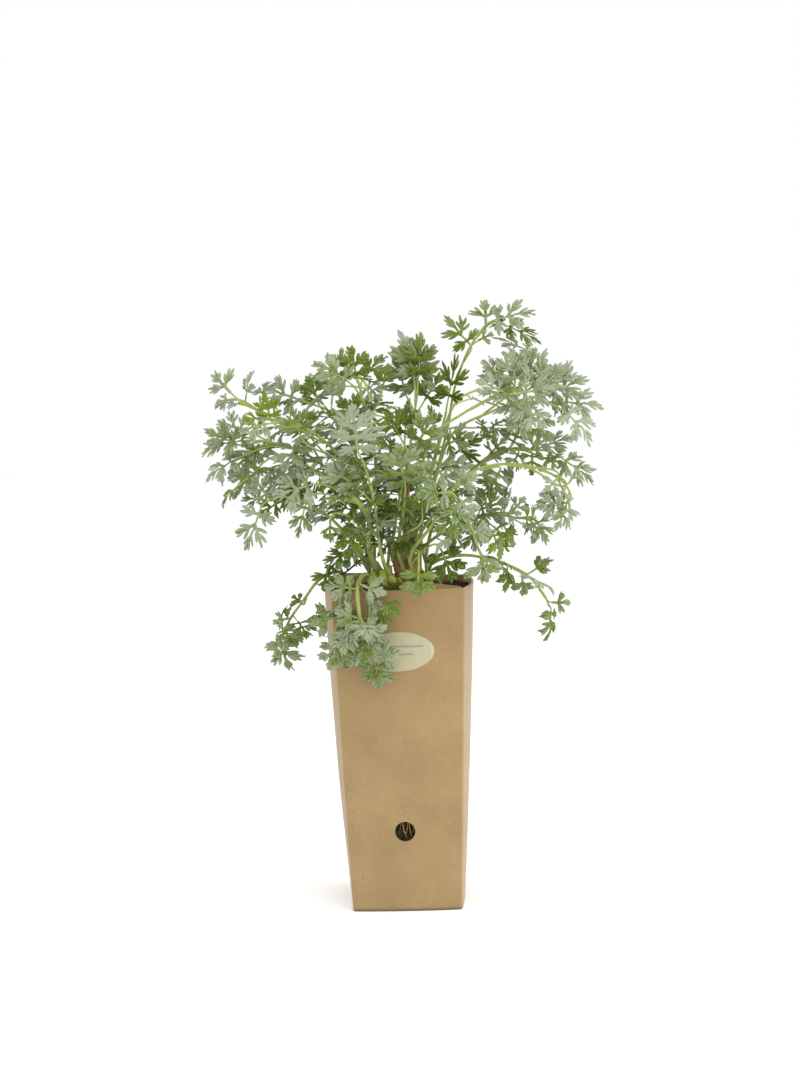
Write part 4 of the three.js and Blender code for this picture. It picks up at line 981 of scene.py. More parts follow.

# %% [markdown]
# ## The plan of the plant
#
# Each shoot that the photograph shows has a foot in the soil, a route, and leaves. A leaf is given
# by the share of the stem at which its stalk leaves it, the foot and the tip of its blade, its
# number of lobes, how far they spread, and how far its face is turned from the sky to the front.
# The numbers are those of the CAD source, so the fine leaves lie where the solid ones do. A rule
# with a fixed seed repeats the four shoots at the back. Each number could be an empty object in
# the scene. A plain table is chosen, because one row for each leaf is easy to read and to change.

# %% Shoots of the front
# A row with a name is a shoot: the x and y of its foot, then the points of its route. Each other row
# is a leaf: its share along the stem, the foot of its blade, the tip, lobes, spread and tilt. A plus
# marks a leaf that only the render has. What a leaf has of its own stands after a semicolon.
# Some tints after a semicolon are painted shade and painted light: tint=1.15 paints the low leaf of the
# junction shoot deep green as a leaf in shade, and tint=0 on the top leaf of cup_high keeps a shaded leaf
# pale.
PLAN = """
left_high  -12 -9  -18 -12 219  -23 -20 254  -34 -28 282  -53 -34 299  -77 -38 309  -92 -40 316
1  -97 -41 322  -108 -40 335  3 1.15 70
0.93  -96 -35 318  -109 -31 315  3 0.9 60
0.82  -78 -44 310  -75 -50 321  3 0.9 60
0.66  -73 -58 303  -91 -62 298  5 0.9 60
0.55  -55 -55 297  -60 -59 314  5 0.9 50
0.5  -49 -25 291  -61 -13 309  5 0.9 50
+0.75  -72 -54 306  -75 -58 322  5 0.75 72  ; young=0.9 tint=0.8
+0.78  -77 -54 306  -89 -57 306  5 0.8 68  ; young=0.9 tint=0.8
+0.95  -88 -42 317  -83 -44 335  3 0.95 60
left_far  -19 3  -21 2 220  -31 0 253  -46 -4 275  -65 -10 287  -84 -14 292
1  -92 -16 292  -121 -18 284  7 0.72 60
0.85  -84 -11 287  -104 -15 271  5 0.7 60
0.93  -94 1 298  -114 7 303  5 0.9 50
0.72  -81 -26 278  -100 -30 257  5 0.6 60
0.6  -58 -40 289  -66 -52 273  5 0.9 60
0.5  -58 6 262  -80 10 252  5 0.9 60
+1  -97 -18 290  -117 -20 300  5 0.8 60
+0.92  -98 -20 281  -117 -24 268  5 0.8 60
+0.72  -95 -30 266  -107 -32 252  3 0.45 60
left_arch  -8 -18  -17 -34 225  -16 -42 243  -22 -50 255  -35 -54 264
1  -48 -56 266  -74 -58 258  5 0.85 60
0.55  -38 -58 245  -37 -60 230  3 0.85 70
0.8  -53 -48 255  -60 -46 232  5 0.7 70  ; spread=0.65
left_low  -16 -15  -22 -22 220  -32 -28 235  -45 -32 248  -63 -34 257  -79 -34 258
1  -81 -28 256  -95 -28 257  3 1 60
0.95  -81 -41 252  -91 -39 224  5 0.65 70
0.8  -71 -26 254  -86 -20 244  5 0.9 60
0.6  -58 -14 255  -72 -8 270  5 0.9 50
+0.95  -77 -36 258  -86 -38 272  5 0.9 60
+0.15  -29 -28 222  -46 -32 217  3 1 60
+0.2  -26 -26 225  -33 -30 212  3 1 65
middle_high  -6 1  -11 0 218  -12 0 252  -14 0 287  -19 -2 312  -22 -4 327
1  -23 -4 328  -27 0 350  5 0.8 50
0.97  -19 4 328  -5 10 344  3 0.8 50
0.9  -27 -14 326  -50 -18 340  5 0.7 50
0.8  -7 -8 321  -2 -6 338  3 0.7 50
0.55  -20 14 300  -38 18 316  5 0.95 60
middle_left  -17 -4  -15 -8 222  -19 -12 259  -28 -14 291  -39 -14 308  -58 -14 316
1  -60 -14 317  -81 -14 324  5 0.9 50
0.8  -47 -5 314  -54 -1 332  5 0.9 50
0.7  -37 -31 313  -34 -33 331  3 0.7 50
middle_pale  -2 -25  -9 -40 221  -12 -52 255  -17 -60 279
1  -20 -63 286  -22 -64 314  7 1.05 78  ; tint=-0.25
0.7  -24 -55 265  -42 -55 279  5 0.9 60  ; tint=-0.15
0.45  -23 -54 238  -30 -56 219  5 0.8 75
centre_face  7 -18  1 -34 222  5 -46 246  7 -54 261
1  7 -55 265  3 -59 290  7 1.15 82  ; tint=0
0.55  17 -59 246  17 -63 265  3 1 75
centre_hang  0 -12  -3 -24 223  2 -36 251  7 -42 272  13 -44 284
1  15 -46 288  27 -50 307  5 0.9 60
0.95  4 -40 293  -5 -36 309  3 0.9 50
cup_high  2 10  -1 14 218  5 14 257  10 12 295  14 10 317
1  14 16 321  11 14 354  7 0.9 60  ; tint=0 spread=0.95
0.92  6 21 319  0 17 344  5 0.7 50
0.85  18 28 313  30 32 331  5 0.8 50
0.6  6 -8 291  9 -14 315  5 0.95 60  ; spread=0.65
+0.95  12 12 328  4 10 358  5 0.7 65
+0.95  15 12 328  16 10 357  5 0.7 65
cup_right  13 5  13 5 219  18 3 257  26 2 285  32 0 306
1  33 0 312  40 -2 343  5 0.7 60  ; tint=0.6 spread=0.6
0.85  25 -16 294  22 -20 311  3 0.9 60  ; spread=0.8
0.75  31 -17 286  51 -21 292  5 0.9 60
0.55  34 -1 278  54 3 291  3 0.95 60
top  14 10  6 14 218  21 12 257  32 8 294  38 6 322  47 4 344  57 2 358
1  58 2 359  57 2 375  3 1.15 60
0.98  62 -6 361  90 -10 366  5 0.6 60
0.88  48 10 347  32 12 365  5 0.8 60
0.88  53 -16 349  63 -18 353  3 0.9 60
+0.98  66 -6 360  93 -8 345  7 0.55 60  ; spread=0.45 breadth=0.75
right_cluster  10 -11  5 -18 221  14 -26 259  23 -32 291  44 -36 306  65 -40 317
1  73 -41 322  54 -38 332  5 0.85 60
0.98  74 -53 323  73 -57 342  5 0.85 60
0.96  79 -47 323  94 -49 342  5 0.85 60
0.94  77 -65 317  98 -71 319  5 0.85 60
0.88  70 -55 313  82 -63 298  3 0.9 60
+1  80 -50 324  86 -56 344  5 0.85 65
+1  82 -60 319  104 -68 332  5 0.85 65
+1  77 -62 308  92 -70 294  5 0.85 65
+0.97  72 -48 326  63 -52 338  5 0.85 65
+0.96  70 -50 312  80 -54 288  5 0.8 65
+0.96  66 -56 318  50 -60 325  5 0.85 60
right_far  17 0  9 -2 219  22 -8 258  37 -12 294  59 -14 305  84 -16 314
1  90 -17 316  102 -16 334  5 0.8 60
0.98  95 -24 316  121 -26 324  5 0.75 60
0.95  102 -16 310  129 -18 306  5 0.85 60
0.93  103 -38 305  120 -40 284  5 0.85 60
0.8  86 2 341  62 4 352  5 0.5 50  ; spread=0.5 breadth=0.7
+1  98 -28 318  108 -32 336  5 0.85 65
+0.95  88 -30 302  86 -36 280  5 0.8 65
right_mid  17 8  17 12 218  28 9 249  48 4 270  65 0 281  86 -4 281
1  99 -6 278  123 -8 259  7 0.6 60
0.95  92 -8 283  112 -10 288  3 0.8 50
0.72  63 -6 285  51 -4 298  3 0.8 50
0.7  74 4 287  78 10 304  5 0.9 50
+0.93  84 -10 282  98 -14 290  5 0.9 65
+0.96  92 -12 276  104 -16 272  5 0.9 65
+0.8  76 -12 280  69 -16 268  5 0.9 72
+0.86  84 -14 279  83 -18 265  5 0.95 72
+0.75  72 -12 285  79 -16 297  5 0.9 65
+0.6  58 -10 279  70 -14 290  5 0.8 65
right_curl  15 -16  8 -28 219  25 -36 247  45 -38 269  64 -38 274  87 -38 271  103 -36 261  107 -34 252
1  104 -34 249  84 -32 250  5 0.7 60
0.62  64 -30 270  55 -26 254  5 0.9 60
+0.93  101 -38 251  83 -42 247  5 0.8 78
+1  103 -38 248  95 -42 233  5 0.9 78
+1  105 -38 249  105 -42 238  3 0.9 78
+0.72  98 -42 265  89 -46 257  3 1 75
+0.8  105 -42 262  111 -44 272  3 0.9 70
+0.85  103 -42 260  98 -46 249  3 0.9 75
right_low  20 -7  11 -12 216  31 -18 234  56 -22 243  75 -24 240
1  82 -24 238  92 -24 223  3 1.1 70  ; tint=-0.3
0.9  71 -22 244  80 -20 253  3 0.9 60  ; tint=-0.3
0.75  59 -31 236  72 -35 223  5 0.9 70  ; young=0.6
0.55  44 -12 238  48 -8 218  5 0.9 70
+0.7  58 -34 233  63 -38 215  5 0.9 75  ; young=0.5
+0.6  50 -26 246  70 -32 252  5 0.9 70
+0.7  64 -30 244  77 -34 243  5 0.9 70
+1  85 -27 239  92 -30 225  5 1 75
junction  13 -23  8 -38 219  22 -50 239  35 -60 258  44 -66 243  50 -66 224
1  51 -66 221  53 -64 204  3 1.2 75
0.86  46 -68 235  60 -72 236  3 0.8 70
0.68  40 -69 247  23 -75 236  5 0.8 75
0.52  33 -72 260  14 -74 259  5 0.9 65
0.5  37 -60 262  51 -62 270  3 0.9 60
0.2  27 -48 225  35 -44 202  5 0.8 75  ; tint=1.15 breadth=1.1
0.3  14 -70 214  13 -68 197  5 1.2 86  ; tint=0.32 young=0.05 spread=1.35 breadth=1.4 long_lobe=5.5
+0.55  40 -66 255  48 -70 243  5 0.9 75
right_droop  26 -12  19 -16 211  38 -20 218  63 -22 213  79 -24 205  90 -24 191  92 -24 185
1  93 -24 184  89 -22 162  5 0.6 70
0.74  81 -28 207  94 -30 216  3 0.7 60
0.7  76 -18 204  77 -14 190  3 0.9 70
0.55  67 -24 211  65 -26 194  3 0.7 75
+0.9  94 -26 188  105 -29 188  3 1 75
front_droop  -14 -32  -19 -42 210  -23 -52 206  -23 -62 197  -22 -60 183  -22 -58 172
1  -22 -58 171  -30 -58 164  3 0.9 80
0.85  -23 -64 184  -36 -66 184  3 0.9 80
0.8  -20 -49 184  -8 -49 183  3 0.9 80
0.35  -20 -58 205  -6 -62 199  3 1.05 70
+0.35  -25 -58 203  -44 -60 206  5 0.75 60
+0.7  -24 -61 186  -37 -65 191  3 1 75
+0.75  -24 -61 183  -35 -63 167  5 0.75 80
+0.75  -20 -61 183  -7 -65 171  5 0.75 80  ; arch=0.25 roll=0
+0.95  -24 -58 171  -28 -57 155  3 1 80
front_droop_right  -5 -34  -15 -44 208  -15 -56 203  -16 -56 190  -17 -54 172  -15 -54 162
1  -14 -54 158  -13 -52 141  5 1.15 85
0.93  -13 -59 162  1 -61 165  3 1.15 80  ; arch=0.25 roll=0
0.45  -14 -57 191  -3 -55 182  3 1 80
front_droop_left  -23 -28  -25 -38 209  -32 -54 202  -35 -56 187  -39 -54 172
1  -39 -51 169  -43 -49 152  5 0.9 80
0.95  -36 -62 171  -29 -64 155  3 1 80
0.62  -37 -58 186  -54 -58 184  3 1.1 80
left_droop  -28 -12  -36 -15 209  -48 -18 206  -59 -20 193  -68 -20 181  -73 -20 171
1  -74 -20 169  -69 -20 148  5 1 75
0.8  -69 -24 182  -79 -26 180  3 1 70
0.6  -60 -18 190  -67 -16 196  3 0.9 60
+0.22  -43 -22 213  -47 -24 198  3 1 70
+0.15  -39 -20 215  -44 -22 208  3 1 60
+0.93  -72 -26 175  -62 -30 165  5 0.9 80
+0.97  -76 -24 172  -76 -26 157  3 1 80
"""
FRONT = -math.pi / 2
TURN_OUT, BUSH_HALF = 0.7, 125
SPREAD_SCALE = 1.25
ROLLS, FACINGS, ARCHES, CUPS = (-0.25, 0.25), (-0.35, 0.35), (0.4, 1.6), (0.5, 1.5)
BLADE_ARCH, BLADE_CUP = 0.5, 0.28


def leaf(along, base, tip, lobes, spread, tilt, own=None, facing=None):
    if facing is None:
        facing = FRONT + TURN_OUT * base[0] / BUSH_HALF
    return {"along": along, "base": np.array(base, float), "tip": np.array(tip, float), "lobes": int(lobes),
            "spread": spread, "tilt": tilt, "own": own or {}, "facing": facing}


def front_shoots():
    found = []
    for row in PLAN.strip().splitlines():
        row, _, own = row.partition(";")
        if row[0].isalpha():
            name, *row = row.split()
            row = [float(word) for word in row]
            route = [row[i:i + 3] for i in range(2, len(row), 3)]
            found.append({"name": name, "foot": row[:2], "route": route, "leaves": []})
        else:
            row = [float(word) for word in row.split()]
            own = {key: float(value) for key, value in (pair.split("=") for pair in own.split())}
            found[-1]["leaves"].append(leaf(row[0], row[1:4], row[4:7], *row[7:], own))
    return found


print("shoots in the photograph:", len(front_shoots()))

# %% Shoots of the back
STEM_TOP = 199  # where a stem starts to bend, just above the soil
BACK = {"count": 4, "seed": 577, "turns": (0.17, 0.88), "foot": (22, 6), "shift": (17, 14), "start": 225,
        "route": ((0.25, 0), (0.45, 0.55), (0.72, 0.92), (1, 1)), "slim": {"spread": 0.7, "breadth": 0.65}}
BACK_KINDS = (((62, 76), (318, 340)), ((74, 86), (268, 284)))  # limits of the reach and of the top
LEAF_SEED, LEAVES_A_SHOOT = 104729, 10


def stem_point(knots, share):
    """The place on a stem's straight-sided route, by its length above the soil."""
    lengths = np.linalg.norm(np.diff(knots, axis=0), axis=1)
    gone = np.concatenate([[0], np.cumsum(lengths)])
    return np.array([np.interp(share * gone[-1], gone, knots[:, axis]) for axis in range(3)])


def stem_knots(plan):
    return np.array([(*plan["foot"], STEM_TOP), *plan["route"]], float)


def back_leaf(k, turn, knots, draw, own):
    side = (0, 1, -1)[k]
    swing = turn + side * between(draw, (0.7, 1))
    way = np.array([math.cos(swing), math.sin(swing), 0])
    rise = between(draw, (-8, 4))
    along = 1 - 0.13 * k
    base = stem_point(knots, along) + way * between(draw, (14, 20) if side else (4, 6)) + (0, 0, rise / 2)
    tip = base + way * between(draw, (26, 34)) + (0, 0, rise)
    return leaf(along, base, tip, (5, 3)[k % 2], 0.95, 45, own, turn)


def back_shoot(index, draw):
    """The first of them, nearly at the side, has slimmer leaves."""
    (first, last), (foot_shift, shift) = BACK["turns"], BACK["shift"]
    turn = math.pi * (first + (last - first) * index / (BACK["count"] - 1))
    reach, top = (between(draw, limits) for limits in BACK_KINDS[index % 2])
    plan = {"name": f"back_{index + 1}",
            "foot": (math.cos(turn) * BACK["foot"][0], math.sin(turn) * BACK["foot"][1] + foot_shift),
            "route": [(math.cos(turn) * reach * out, math.sin(turn) * reach * out + shift,
                       BACK["start"] + (top - BACK["start"]) * up) for out, up in BACK["route"]]}
    own = BACK["slim"] if index == 0 else {}
    plan["leaves"] = [back_leaf(k, turn, stem_knots(plan), draw, own) for k in range(3)]
    return plan


back_draw = seeded_draws(BACK["seed"])
shoots = front_shoots() + [back_shoot(index, back_draw) for index in range(BACK["count"])]


def finished(leaf_plan, number):
    """The leaf with its length and its own small turns, drawn as in the CAD source."""
    draw = seeded_draws(LEAF_SEED * (number + 1))
    ready = dict(leaf_plan)
    ready["length"] = float(np.linalg.norm(ready["tip"] - ready["base"]))
    ready["spread"] *= SPREAD_SCALE
    ready["roll"] = between(draw, ROLLS)
    ready["arch"] = BLADE_ARCH * between(draw, ARCHES)
    ready["cup"] = BLADE_CUP * between(draw, CUPS)
    ready["facing"] += between(draw, FACINGS)
    return ready


print(len(shoots), "shoots with", sum(len(plan["leaves"]) for plan in shoots), "large leaves")

# %% [markdown]
# ## Small leaves along the stems
#
# Besides its large leaves, every stem carries many smaller ones, all round it and a golden angle
# apart, and they fill the dense middle of the bush. Each is one of a few small leaves, set along
# the stem by a Geometry Nodes tree. The same tree sweeps the stem and the stalks as tubes whose
# radius comes from the points, adds the large blades, and ends as one real mesh. There is one
# tree, run on every shoot.

# %% A few small leaves
SPRIGS = (  # lobes, length, breadth
    (3, 17, 0.95), (5, 22, 0.92), (5, 19, 0.92), (3, 20, 0.95), (5, 24, 0.88),
)
SPRIG_STALK, SPRIG_SEED, RIB_SUNK = 9, 7919, 0.35


def sprig_mesh(number, lobes, length, breadth):
    draw = seeded_draws(SPRIG_SEED * (number + 1))
    blade = {"base": np.array([SPRIG_STALK, 0, 1.5]), "tip": np.array([SPRIG_STALK + length, 0, 0.0]),
             "lobes": lobes, "length": length, "breadth": breadth, "spread": 1.15, "tilt": 0, "facing": 0,
             "roll": 0.15 * (next(draw) - 0.5), "arch": 0.7, "cup": 0.25, "curl": -0.12,
             "young": 0, "tint": 0}
    points, faces, look, _ = leaf_sheet(blade, draw)
    stalk = [np.array((SPRIG_STALK * s, 0, 2.2 * s * (1 - s) + 1.5 * s ** 2)) for s in np.linspace(0, 1, 5)]
    stalk += list(blade_points(blade, np.array([[0.2, 0], [0.4, 0]])) - (0, 0, RIB_SUNK))
    tube = swept(stalk, lambda ring, angle: 0.55 - 0.05 * ring, 5)
    look = np.vstack([look, np.tile([0.1, 0.5, 0.0], (len(tube[0]), 1))])
    return new_mesh(f"small_leaf_{number}", *joined([(points, faces), tube]), felt, {"look": look})


small_leaves = stored_parts("small_leaves", [sprig_mesh(k, *plan) for k, plan in enumerate(SPRIGS)])

# %% The tree for a leafy shoot
GOLDEN_ANGLE = math.pi * (3 - math.sqrt(5))

bush = Tree("leafy_shoot", Stalks="Object", Blades="Object", Small_Leaves="Collection", Sides="Int",
            Spacing="Float", First="Float", Last="Float", Least="Float", Most="Float", Lift="Float",
            Seed="Int", Stem_Finish="Material", Leaf_Finish="Material", Green="Float", Least_Lean="Float",
            Most_Lean="Float")
start = bush.start


def tree_tube(wires):
    """The wires as curves, and the tubes round them."""
    thick = bush.made("InputNamedAttribute", {"data_type": "FLOAT"}, Name="thick")
    curve = bush.made("SetCurveRadius", Curve=bush.made("MeshToCurve", Mesh=wires), Radius=thick)
    ring = bush.made("CurvePrimitiveCircle", Resolution=start["Sides"], Radius=1.0)
    tube = bush.step("CurveToMesh", Curve=curve, Profile_Curve=ring, Fill_Caps=True)
    if "Scale" in tube.inputs:
        bush.group.links.new(thick, tube.inputs["Scale"])
    return curve, tube.outputs[0]


def object_shape(socket):
    return bush.step("ObjectInfo", i0=socket).outputs["Geometry"]


def chance(least, most, offset):
    return bush.chance(least, most, bush.maths("ADD", i0=start["Seed"], i1=offset))


def turn_more(rotation, **angles):
    turn = bush.made("FunctionNodeEulerToRotation", i0=bush.made("ShaderNodeCombineXYZ", **angles))
    return bush.made("FunctionNodeRotateRotation", {"rotation_space": "LOCAL"}, i0=rotation, i1=turn)


stem_curve, stem_tube = tree_tube(start["Geometry"])
_, stalk_tube = tree_tube(object_shape(start["Stalks"]))
leafy_part = bush.made("TrimCurve", {"mode": "FACTOR"}, Curve=stem_curve, i2=start["First"], i3=start["Last"])
spots = bush.step("CurveToPoints", {"mode": "LENGTH"}, Curve=leafy_part, Length=start["Spacing"])
face_way = bush.made("ShaderNodeVectorMath", {"operation": "ADD"}, i0=spots.outputs["Tangent"],
                     i1=bush.made("ShaderNodeCombineXYZ", Z=start["Lift"]))
spin = bush.maths("MULTIPLY_ADD", i0=bush.made("InputIndex"), i1=GOLDEN_ANGLE, i2=chance(-0.5, 0.5, 1.0))
facing = turn_more(bush.made("FunctionNodeAlignRotationToVector", {"axis": "Z"}, Vector=face_way), Z=spin)
facing = turn_more(facing, Y=chance(start["Least_Lean"], start["Most_Lean"], 2.0))
facing = turn_more(facing, X=chance(-0.55, 0.55, 5.0))
placed = bush.made("InstanceOnPoints", Points=spots.outputs["Points"],
                   Instance=bush.parts(start["Small_Leaves"]), Pick_Instance=True, Rotation=facing,
                   Scale=chance(start["Least"], start["Most"], 3.0))
tinted = bush.made("StoreNamedAttribute", {"data_type": "FLOAT", "domain": "INSTANCE"}, Geometry=placed,
                   Name="tint", Value=bush.maths("ADD", i0=start["Green"], i1=chance(-0.35, 0.3, 4.0)))
leafy = bush.real([tinted, object_shape(start["Blades"])], start["Leaf_Finish"])
woody = bush.made("SetShadeSmooth", i0=bush.made("JoinGeometry", i0=[stem_tube, stalk_tube]))
woody = bush.made("SetMaterial", Geometry=woody, Material=start["Stem_Finish"])
bush.end(bush.made("JoinGeometry", i0=[leafy, woody]))
print("tree with", len(bush.group.nodes), "nodes")

# %% Stems and stalks as wires
STEM_RADIUS, LOW_STEM_RADIUS, STALK_RADIUS, RIB_RADIUS = (1.25, 0.72), (1.5, 1.05), 0.6, 0.3
STALK_HANDLE, ALONG_STEM, SUNK_SHARE = 0.35, 0.6, 0.025
RIB_START = np.array([[0.1, 0]])
STEM_DEPTH, STEM_POINTS, STALK_POINTS = 3, 34, 11
RIB_PLACES, RIB_DEPTH = (0.25, 0.5, 0.75, 1), 0.3  # points of a rib, and how far it lies under the blade
STALK_TAPER, RIB_TAPER = (1.15, 0.85), (1.4, 0.7)


def wire_piece(name, routes):
    """Wires as a mesh of edges. Each route is its points and its radii."""
    edges, first = [], 0
    for route, _ in routes:
        edges += [(i, i + 1) for i in range(first, first + len(route) - 1)]
        first += len(route)
    thick = np.concatenate([radii for _, radii in routes]).astype(np.float32) * MM
    return new_piece(name, np.vstack([route for route, _ in routes]), [], None, {"thick": thick}, edges)


def stem_route(plan, radii):
    points = smooth_route([(*plan["foot"], SOIL["level"] - STEM_DEPTH), *stem_knots(plan)], STEM_POINTS)
    return points, radii[0] + (radii[1] - radii[0]) * np.linspace(0, 1, len(points))


def stalk_route(one, knots):
    """From inside the stem, along the stem's way at first, and on under the blade as its rib."""
    begin = stem_point(knots, one["along"] - SUNK_SHARE)
    ahead = stem_point(knots, min(1, one["along"] + SUNK_SHARE))
    base = one["base"]
    handle = STALK_HANDLE * np.linalg.norm(base - begin)
    leave = unit(unit(ahead - begin) * ALONG_STEM + unit(base - begin))
    enter = unit(blade_points(one, RIB_START)[0] - base)
    corners = begin, begin + leave * handle, base - enter * handle, base
    t = np.linspace(0, 1, STALK_POINTS)[:, None]
    curve = ((1 - t) ** 3 * corners[0] + 3 * (1 - t) ** 2 * t * corners[1]
             + 3 * (1 - t) * t ** 2 * corners[2] + t ** 3 * corners[3])
    end = LOBE_PLANS[one["lobes"]][1][0]
    rib = blade_points(one, np.array([[end * s, 0] for s in RIB_PLACES])) - blade_frame(one)[2] * RIB_DEPTH
    radii = np.concatenate([np.linspace(*(STALK_RADIUS * share for share in STALK_TAPER), len(curve)),
                            np.linspace(*(RIB_RADIUS * share for share in RIB_TAPER), len(rib))])
    return np.vstack([curve, rib]), radii


print("radius of a stem at its foot and its tip, mm:", STEM_RADIUS)

# %% What sets the shoots apart
UPRIGHT, HANGING = (0.5, -0.8, 0.35), (3.0, 0.25, 1.05)  # how far leaves look up, and how far they lean
# Small leaves: how far apart in mm, from and to which share of the stem, and their sizes.
KINDS = {
    "left": dict(breadth=0.82, green=0.06, spacing=6, first=0.42, last=0.95, sizes=(0.7, 1.1)),
    "middle": dict(breadth=1.05, green=0.2, spacing=5.2, first=0.36, last=0.95, sizes=(0.65, 1.05)),
    "right": dict(breadth=0.8, green=-0.02, spacing=4.6, first=0.45, last=0.98, sizes=(0.75, 1.15)),
    "low": dict(breadth=1.15, green=0.1, spacing=11, first=0.5, last=0.97, sizes=(0.75, 1.1),
                long_lobe=6.5, curl=-0.35, way=HANGING),
    "back": dict(breadth=1.0, green=0.3, spacing=8, first=0.3, last=0.95, sizes=(0.65, 1)),
}
KIND_WORDS = {"low": ("droop", "junction"), "back": ("back",), "left": ("left",), "right": ("right",)}
OWN_KIND = {  # what single shoots have of their own
    "top": dict(first=0.3, last=0.48, breadth=0.85, green=0.3),
    "cup_high": dict(last=0.43, green=0.1),
    "cup_right": dict(last=0.42),
    "middle_high": dict(last=0.8),
    "left_low": dict(way=(1.5, -0.9, -0.2), spacing=7),
    "left_arch": dict(stem=(1.85, 1.5)),
    "right_cluster": dict(first=0.93, last=1, spacing=3, sizes=(0.85, 1.3)),
    "right_far": dict(first=0.88, last=1, spacing=3.4, sizes=(0.8, 1.2)),
    "right_mid": dict(green=0.12, spacing=6, last=0.6),
    "right_curl": dict(spacing=6, last=0.44, stem=(1.2, 0.6)),
    "right_low": dict(green=0.02),
    "right_droop": dict(green=0.2, spacing=15, last=0.85, way=(1.5, -0.3, 0.5)),
    "back_1": dict(first=0.35, last=0.4, green=-0.05),
    "front_droop": dict(green=-0.08, breadth=1.1, spacing=9, stem=LOW_STEM_RADIUS),
    "front_droop_left": dict(green=0.28, last=0.9, stem=LOW_STEM_RADIUS),
    "front_droop_right": dict(green=0.26, last=0.8, stem=LOW_STEM_RADIUS),
    "left_droop": dict(green=0.26, breadth=0.95, stem=(1.2, 0.7)),
}


def kind_of(name):
    for kind, words in KIND_WORDS.items():
        if any(word in name for word in words):
            return kind
    return "middle"


print({plan["name"]: kind_of(plan["name"]) for plan in shoots})


# %% Grow all shoots
BLADE_SEED = (31, 17)  # a leaf's seed is its number times the first, plus the second
CURL_PLAY, TINT_PLAY = 0.25, 0.5  # how much the draws change its curl and its tint
MARGIN, CLEARANCE = 6, 0.2  # the last millimetres before the CAD box, and what stays free of them


def keep_inside(piece):
    """Presses the outermost leaf tips back to the CAD box, over the last few millimetres."""
    places = np.empty(len(piece.data.vertices) * 3, np.float32)
    piece.data.vertices.foreach_get("co", places)
    places = places.reshape(-1, 3)
    for axis in range(3):
        for side, limit in ((-1, cad_box[0][axis]), (1, cad_box[1][axis])):
            beyond = side * (places[:, axis] - limit) + MARGIN * MM
            room = (MARGIN - CLEARANCE) * MM
            if beyond.max() > room:
                places[:, axis] -= side * np.maximum(beyond, 0) * (1 - room / beyond.max())
    piece.data.vertices.foreach_set("co", places.ravel())
    piece.data.update()


def leafy_shoot(index, plan):
    kind = {"long_lobe": LONG_LOBE, "curl": -0.15, "way": UPRIGHT, "stem": STEM_RADIUS}
    kind |= KINDS[kind_of(plan["name"])] | OWN_KIND.get(plan["name"], {})
    knots = stem_knots(plan)
    sheets, looks, tints, stalks = [], [], [], []
    for k, one in enumerate(plan["leaves"]):
        number = LEAVES_A_SHOOT * index + k
        one, draw = finished(one, number), seeded_draws(BLADE_SEED[0] * number + BLADE_SEED[1])
        one.update(breadth=kind["breadth"], long_lobe=kind["long_lobe"],
                   curl=kind["curl"] + CURL_PLAY * next(draw),
                   tint=kind["green"] + TINT_PLAY * (next(draw) - 0.45), young=0)
        one.update(one["own"])
        points, faces, look, tint = leaf_sheet(one, draw)
        sheets.append((points, faces))
        looks.append(look)
        tints.append(tint)
        stalks.append(stalk_route(one, knots))
    blades = new_piece("blades", *joined(sheets), felt,
                       {"look": np.vstack(looks), "tint": np.concatenate(tints)})
    stalks = wire_piece("stalks", stalks)
    piece = wire_piece("leafy_" + plan["name"], [stem_route(plan, kind["stem"])])
    bush.grow(piece, Stalks=stalks, Blades=blades, Small_Leaves=small_leaves, Sides=8,
              Spacing=kind["spacing"] * MM, First=kind["first"], Last=kind["last"], Least=kind["sizes"][0],
              Most=kind["sizes"][1], Seed=index * 10, Stem_Finish=rind.material, Leaf_Finish=felt.material,
              Green=float(kind["green"]), Lift=kind["way"][0], Least_Lean=kind["way"][1],
              Most_Lean=kind["way"][2])
    keep_inside(piece)
    for helper in (blades, stalks):
        bpy.data.objects.remove(helper)
    return piece


for index, plan in enumerate(shoots):
    finish_piece(leafy_shoot(index, plan), "felt", "shoot_" + plan["name"])

# %% [markdown]
# ## The crown, old wood, a flap, a dry stick, yellowed leaflets and moss
#
# Where the green stems leave the old wood, their bases are swollen and pale green, and a ridged
# stub of old wood leans beside them. A fold of board stands behind the front rim. A thin dark dry
# stick leans over the rim, two withered yellow leaflets hang on short stalks, and a little moss
# grows on the soil at the front. The crown, the wood and the stick are sweeps with their own
# radius rule, because a tube with a rule keeps its shape exact. The flap and the pad of moss are
# thin closed grids. The moss is one bent blade, set many times by the tree that set the crumbs.

# %% Swollen green crown
CROWN = [  # foot, top, radius at the foot and at the top
    ((-8, -28, 194), (-9, -29, 211), 6.0, 2.2),
    ((-3, -29, 194), (-4, -30, 208), 5.2, 2.0),
    ((-13, -26, 194), (-15, -27, 210), 5.0, 1.8),
    ((-8, -33, 194), (-8, -34, 204), 4.4, 2.2),
    ((-14, -30, 193), (-16, -32, 203), 3.8, 1.8),
    ((-9, -16, 193), (-14, -10, 214), 4.4, 1.4),
    ((1, -26, 194), (0, -28, 206), 3.4, 1.6),
    ((-6, -22, 196), (-5, -23, 213), 4.2, 1.5),
]


BULB_MIDDLE = (0.2, 0.2, 0.55)  # where a bulb's route bends, as shares of the way up in x, y and z


def joined_sweeps(name, routes, finish, sides=14):
    """Several closed tubes in one piece. Each route is its points and a rule for its radius."""
    return new_piece(name, *joined(swept(route, radius_at, sides) for route, radius_at in routes), finish)


